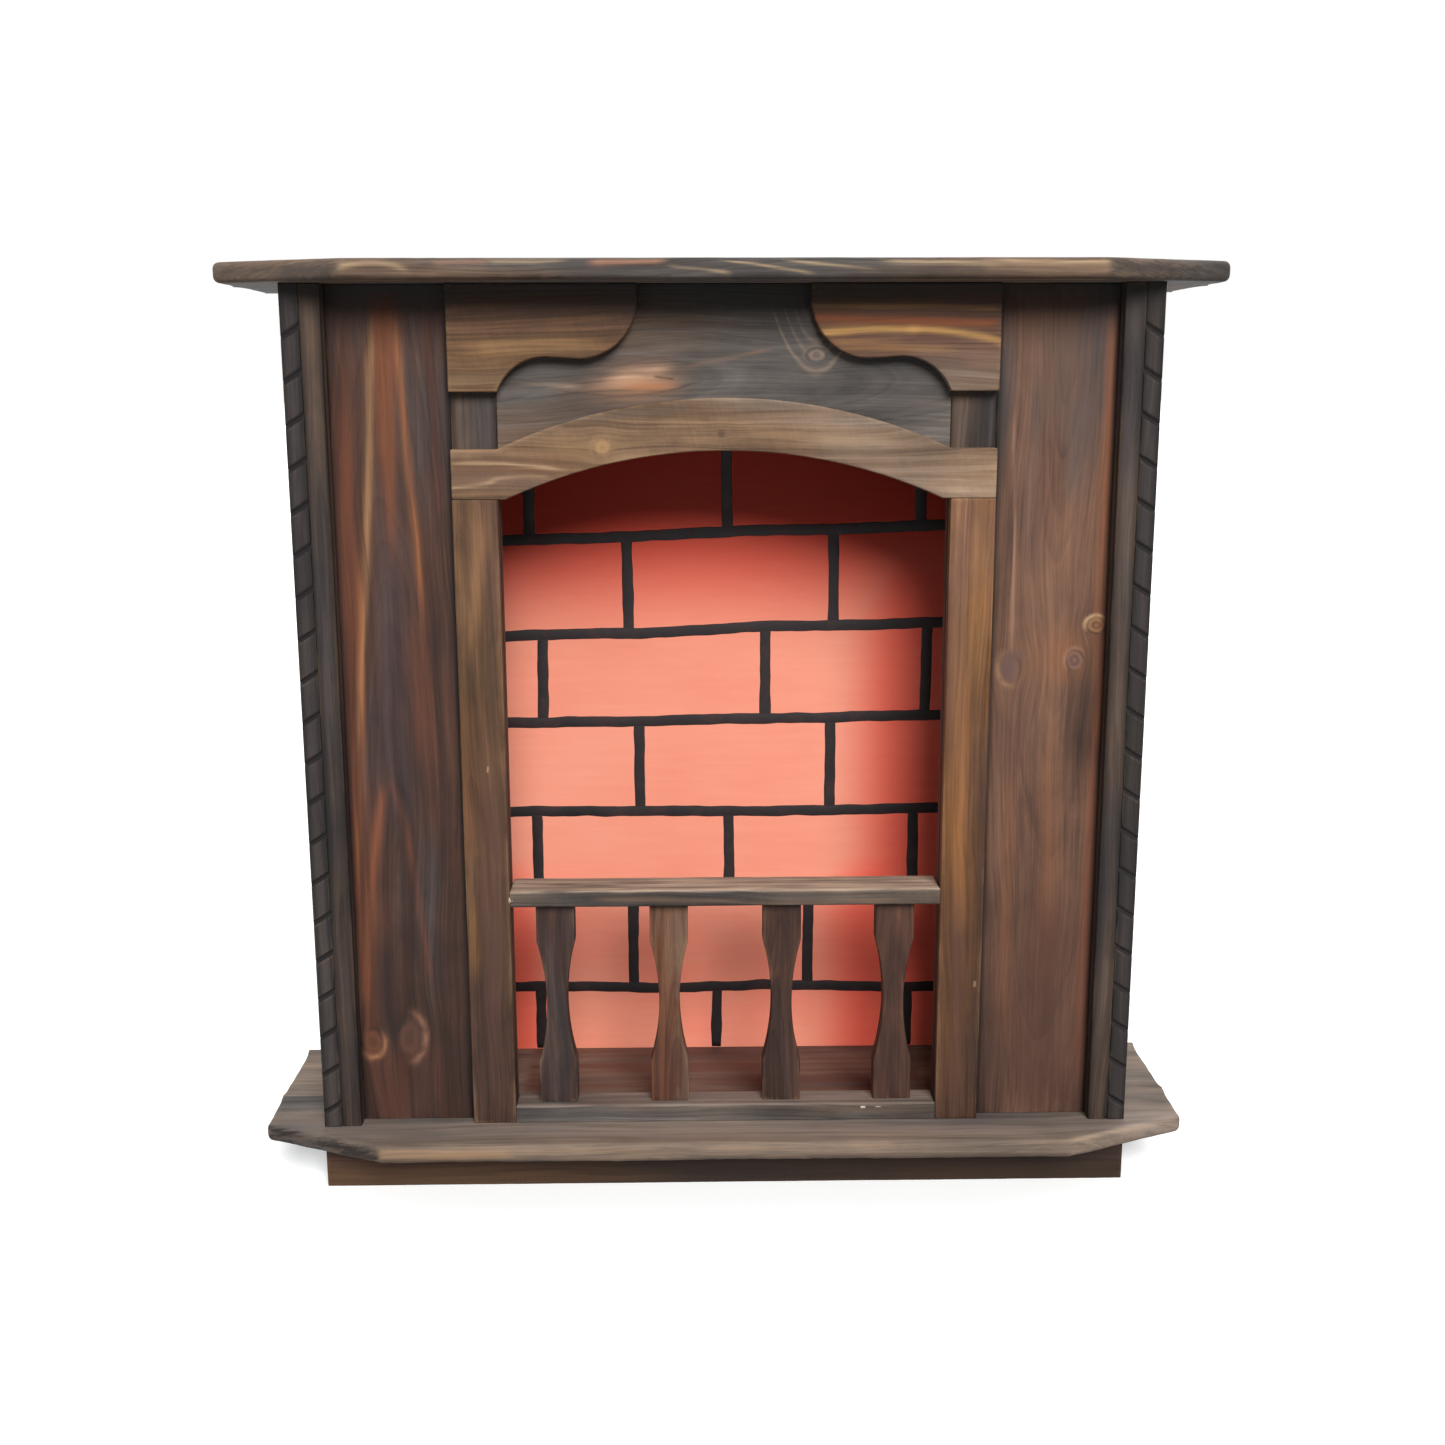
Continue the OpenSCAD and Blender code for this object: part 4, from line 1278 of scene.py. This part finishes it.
# (place in half widths, share of the depth, wear of the lip) from a notch's middle outwards
HALF_NOTCH = ((0.06, 1, 0), (0.45, 0.56, 0), (0.9, 0.12, 1), (1.12, 0, 0.6), (1.5, 0, 0))
NOTCH_ROWS = [(-share, cut, wear) for share, cut, wear in reversed(HALF_NOTCH)] + list(HALF_NOTCH)


def strip_levels(height, draws):
    """(level above the foot, depth of cut, wear) of each row of points up the front."""
    rows = [(0.0, 0.0, 1.0), (STRIP_EDGE, 0.0, 0.3)]
    level = NOTCH_PITCH / 2
    while level < height - NOTCH_HALF - 1.5 * MM:
        deep = NOTCH_DEPTH * draws.uniform(0.85, 1.0)
        half = NOTCH_HALF * draws.uniform(0.8, 1.0)
        for share, cut, wear in NOTCH_ROWS:
            rows.append((level + share * half, cut * deep, wear))
        level += NOTCH_PITCH
    return rows + [(height - STRIP_EDGE, 0.0, 0.3), (height, 0.0, 1.0)]


def strip_section(low, high):
    """(x, y, wear) round the strip from the front's left edge: front, right, back, left."""
    width = high.x - low.x
    front = []
    for i in range(15):
        share = i / 14
        x = low.x + width * (0.5 - 0.5 * math.cos(math.pi * share))
        near = min(x - low.x, high.x - x)
        drop = max(0.0, STRIP_EDGE - near)
        y = low.y + STRIP_EDGE - math.sqrt(max(0.0, STRIP_EDGE ** 2 - drop ** 2))
        front.append((x, y, 1.0 if near < STRIP_EDGE else 0.0))
    right = [(high.x, low.y + d, w) for d, w in ((3.5 * MM, 0.2), (6 * MM, 0.0), (16 * MM, 0.0))]
    back = [(high.x, high.y - 0.6 * MM, 0.3), (high.x - 0.6 * MM, high.y, 0.3),
            (low.x + 0.6 * MM, high.y, 0.3), (low.x, high.y - 0.6 * MM, 0.3)]
    left = [(low.x, p[1], p[2]) for p in reversed(right)]
    return front, right + back + left


def notched_strip(side, sign, material):
    """Upright strip whose front carries slanting V notches, lower at their outer ends."""
    node = f"notched_strip_{side}"
    low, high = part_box(node)
    draws = random.Random(f"{node} notches")
    height, middle = high.z - low.z, (low.x + high.x) / 2
    front, rest = strip_section(low, high)
    builder = bmesh.new()
    wear_layer = builder.verts.layers.float.new("wear")
    notch_shade_layer = builder.verts.layers.float.new("notch_shade")
    rings = []
    for level, cut, lip in strip_levels(height, draws):
        near_end = min(level, height - level) / (NOTCH_PITCH / 2 - 1.5 * NOTCH_HALF)
        slant = -sign * NOTCH_SLOPE * min(1.0, max(0.0, near_end))
        ring = []
        for x, y, wear in front:
            z = min(high.z, max(low.z, low.z + level + (x - middle) * slant))
            chip = 0.5 * MM * max(0.0, noise.noise(Vector((x * 90, 3.0 * sign, z * 45))) - 0.25) * wear
            vertex = builder.verts.new((x, max(y, low.y + cut) + chip, z))
            vertex[wear_layer] = max(wear, lip)
            # Painted shade in the notch, darker the deeper the cut.
            vertex[notch_shade_layer] = min(1.0, cut / NOTCH_DEPTH * 2.2)
            ring.append(vertex)
        for x, y, wear in rest:
            vertex = builder.verts.new((x, max(y, low.y + cut), low.z + level))
            vertex[wear_layer] = wear
            ring.append(vertex)
        rings.append(ring)
    for first, second in zip(rings, rings[1:]):
        for i in range(len(first)):
            k = (i + 1) % len(first)
            builder.faces.new((first[i], first[k], second[k], second[i]))
    builder.faces.new(list(reversed(rings[0])))
    builder.faces.new(rings[-1])
    data = finished_mesh(node, builder)
    add_piece(f"{node}_wood", data, material, [node])


def make_strips():
    """Dark notched strips on the outside of the side boards, each with a small pale chip."""
    look = dict(grain="Z", warm=COAL, cool=SLATE, cool_share=0.5, span=(0.07, 0.955), contrast=0.7, band=0.01,
                rub=0.4, rub_tint=rgb(112, 98, 86), light=-0.05, shade_below_shelf=True)
    chip_left = [Vein((0.10, -0.4165), (0.16, -0.4165), (0.0015, 0.0010), PALE)]
    chip_right = [Vein((0.11, 0.4165), (0.15, 0.4165), (0.0010, 0.0015), PALE)]
    left = pine("strip_left_pine", 91, pith=(-0.42, 0.12, 0.01), veins=chip_left,
                edges_of="notched_strip_left", **look)
    right = pine("strip_right_pine", 92, pith=(0.42, 0.12, 0.01), veins=chip_right,
                 edges_of="notched_strip_right", **look)
    notched_strip("left", -1, left)
    notched_strip("right", 1, right)


# ---------------------------------------------------------------- painted panel

LINE_W = 12.5 * MM
LINE_PROUD = 0.2 * MM
# Steps in a level line, and the step length and upper end, below the panel's top, of upright ones
LINE_STEPS = 110
JOINT_STEP = 7 * MM
JOINTS_END = 32 * MM
# Height of each mortar line over the base at the left and at the right of the opening
COURSES = ((0.079, 0.077), (0.187, 0.188), (0.295, 0.298), (0.403, 0.409), (0.504, 0.519), (0.614, 0.629),
           (0.724, 0.732), (0.834, 0.836))
# Upright joints of each course of bricks, from the floor up
JOINTS = (
    (-0.330, -0.218, -0.007, 0.222, 0.336), (-0.320, -0.106, 0.102, 0.318), (-0.217, 0.008, 0.225),
    (-0.312, -0.096, 0.126, 0.330), (-0.206, 0.050, 0.236), (-0.322, -0.107, 0.128, 0.334),
    (-0.217, 0.006, 0.226), (-0.320, -0.110, 0.110, 0.322), (-0.215, 0.004, 0.220),
)


def course_level(course, x, half):
    """Height of a mortar line over the base, with the painter's waver."""
    left, right = COURSES[course]
    wave = noise.noise(Vector((x * 7.0, course * 3.1, 0.0))) * 3.0 * MM
    wave += noise.noise(Vector((x * 30.0, course * 3.1, 9.0))) * 0.8 * MM
    return left + (right - left) * (x + half) / (2 * half) + wave


def brush_line(builder, path, width, seed, proud, surface):
    """Closed, very thin band along a path of (x, z), with edges that waver."""
    rings = []
    last = len(path) - 1
    for i, here in enumerate(path):
        run = (path[min(i + 1, last)] - path[max(i - 1, 0)]).normalized()
        side = Vector((-run.y, run.x))
        ease = 0.9 if i in (0, last) else 1.0
        halves = []
        for edge in (-1, 1):
            quick = noise.noise(Vector((i * 0.35, seed, edge * 4.0)))
            slow = noise.noise(Vector((i * 0.11, seed + 5.0, edge * 4.0)))
            halves.append((width / 2 + (quick + 0.5 * slow) * MM) * ease)
        outer = [here - side * halves[0], here + side * halves[1]]
        inner = [here - side * halves[0] * 0.9, here + side * halves[1] * 0.9]
        ring = [(outer[0], 0.0), (inner[0], proud), (inner[1], proud), (outer[1], 0.0)]
        rings.append([builder.verts.new((p.x, surface - t, p.y)) for p, t in ring])
    for first, second in zip(rings, rings[1:]):
        for a in range(4):
            b = (a + 1) % 4
            builder.faces.new((first[a], first[b], second[b], second[a]))
    builder.faces.new(list(reversed(rings[0])))
    builder.faces.new(rings[-1])


def make_panel():
    """Painted panel with hand-brushed mortar lines standing a little proud of it."""
    low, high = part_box("brick_panel")
    rim = rim_of(rectangle(low.x, low.z, high.x, high.z), 0.5 * MM)
    front = low.y + 2 * LINE_PROUD
    back = high.y - 0.4 * MM
    data = board_mesh("brick_panel", rim, front, back, 0.4 * MM, to_front, 3)
    add_piece("brick_panel_painted", data, salmon_paint(), ["brick_panel"])
    make_mortar_lines(low, high, front)


def brick_joint(row, x, foot, top, level_at):
    """Path of one upright joint between the mortar lines below and above it."""
    start = foot if row == 0 else level_at(row - 1, x)
    end = top if row == len(COURSES) else level_at(row, x)
    lean = noise.noise(Vector((x * 40, row * 5.0, 2.0))) * 4 * MM
    steps = max(3, round((end - start) / JOINT_STEP))
    shares = [k / steps for k in range(steps + 1)]
    return [Vector((x + lean * (share - 0.5), start + (end - start) * share)) for share in shares]


def make_mortar_lines(low, high, front):
    """All the brush lines as one mesh; the level ones stand a little higher than the upright ones."""
    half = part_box("side_board_right")[0].x - 2 * MM
    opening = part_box("column_right")[0].x
    foot, top = low.z + 1 * MM, high.z - JOINTS_END

    def level_at(course, x):
        """Height of a mortar line at one place."""
        return low.z + course_level(course, x, opening)

    builder = bmesh.new()
    xs = [-half + 2 * half * i / LINE_STEPS for i in range(LINE_STEPS + 1)]
    for course in range(len(COURSES)):
        path = [Vector((x, level_at(course, x))) for x in xs]
        brush_line(builder, path, LINE_W, course * 2.0, LINE_PROUD * 1.2, front)
    for row, joints in enumerate(JOINTS):
        for x in joints:
            path = brick_joint(row, x, foot, top, level_at)
            brush_line(builder, path, LINE_W, row * 7.0 + x * 50, LINE_PROUD, front)
    data = finished_mesh("mortar_lines", builder)
    add_piece("mortar_lines", data, line_paint(), [])


# ---------------------------------------------------------------- hidden timber and fasteners


RAW_EDGE = 0.8 * MM
RAW_GAP = 0.25 * MM
BLOCK_SIZE = 30 * MM


def make_hidden_timber():
    """Unstained cleats, battens and corner blocks."""
    raw = dict(warm=RAW, cool=RAW, contrast=0.6, rub=0.0, blotch=0.5, light=0.05)
    cross = pine("raw_pine_cross", 101, grain="X", span=(-0.4, 0.4), pith=(0.9, 0.05, 0.02), **raw)
    deep = pine("raw_pine_deep", 102, grain="ZY", span=(0.0, 1.0), pith=(0.0, 0.35, 0.02), **raw)
    sawn = dict(radius=RAW_EDGE, shrink=RAW_GAP)
    for node in ("cleat_front", "cleat_rear"):
        box_board(node, cross, "raw_pine", **sawn)
    for side, _ in SIDES:
        box_board(f"cleat_{side}", deep, "raw_pine", **sawn)
        for level in ("lower", "upper"):
            box_board(f"batten_{side}_{level}", cross, "raw_pine", **sawn)
    make_corner_blocks(deep)


def make_corner_blocks(material):
    """One piece of four sawn blocks, one in each corner of the plinth."""
    low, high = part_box("plinth_blocks")
    joined = bmesh.new()
    joined.verts.layers.float.new("wear")
    for x in (low.x, high.x - BLOCK_SIZE):
        for y in (low.y, high.y - BLOCK_SIZE):
            rim = rim_of(rectangle(x, y, x + BLOCK_SIZE, y + BLOCK_SIZE), RAW_EDGE)
            data = board_mesh("block", rim, low.z + RAW_GAP, high.z, RAW_EDGE, to_top, 5)
            joined.from_mesh(data)
            bpy.data.meshes.remove(data)
    data = finished_mesh("plinth_blocks", joined)
    add_piece("plinth_blocks_wood", data, material, ["plinth_blocks"])


def dress_fasteners():
    """Steel on every screw, brad and nail that the frame brings."""
    steel = brushed_steel()
    for name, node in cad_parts.items():
        if name.endswith(("_brads", "_screws", "_nails")):
            node.data.materials.clear()
            node.data.materials.append(steel)


# ---------------------------------------------------------------- floor


def make_floor():
    """Plain floor that reaches well past the view."""
    reach = 60.0
    builder = bmesh.new()
    bmesh.ops.create_grid(builder, x_segments=8, y_segments=8, size=reach)
    data = bpy.data.meshes.new("floor")
    builder.to_mesh(data)
    builder.free()
    floor = bpy.data.objects.new("floor", data)
    bpy.context.scene.collection.objects.link(floor)
    floor.location.z = cad_box[0].z
    data.materials.append(pale_floor())
    floor.visible_diffuse = False


# ---------------------------------------------------------------- everything

bpy.context.scene.view_settings.view_transform = "Standard"
make_camera()
make_world()
make_lights()
make_floor()
make_shelf()
make_base()
make_plinth()
make_side_boards()
make_strips()
make_face_boards()
make_columns()
make_arch()
make_corbels()
make_balusters()
make_rail()
make_sill()
make_filler()
make_panel()
make_hidden_timber()
dress_fasteners()
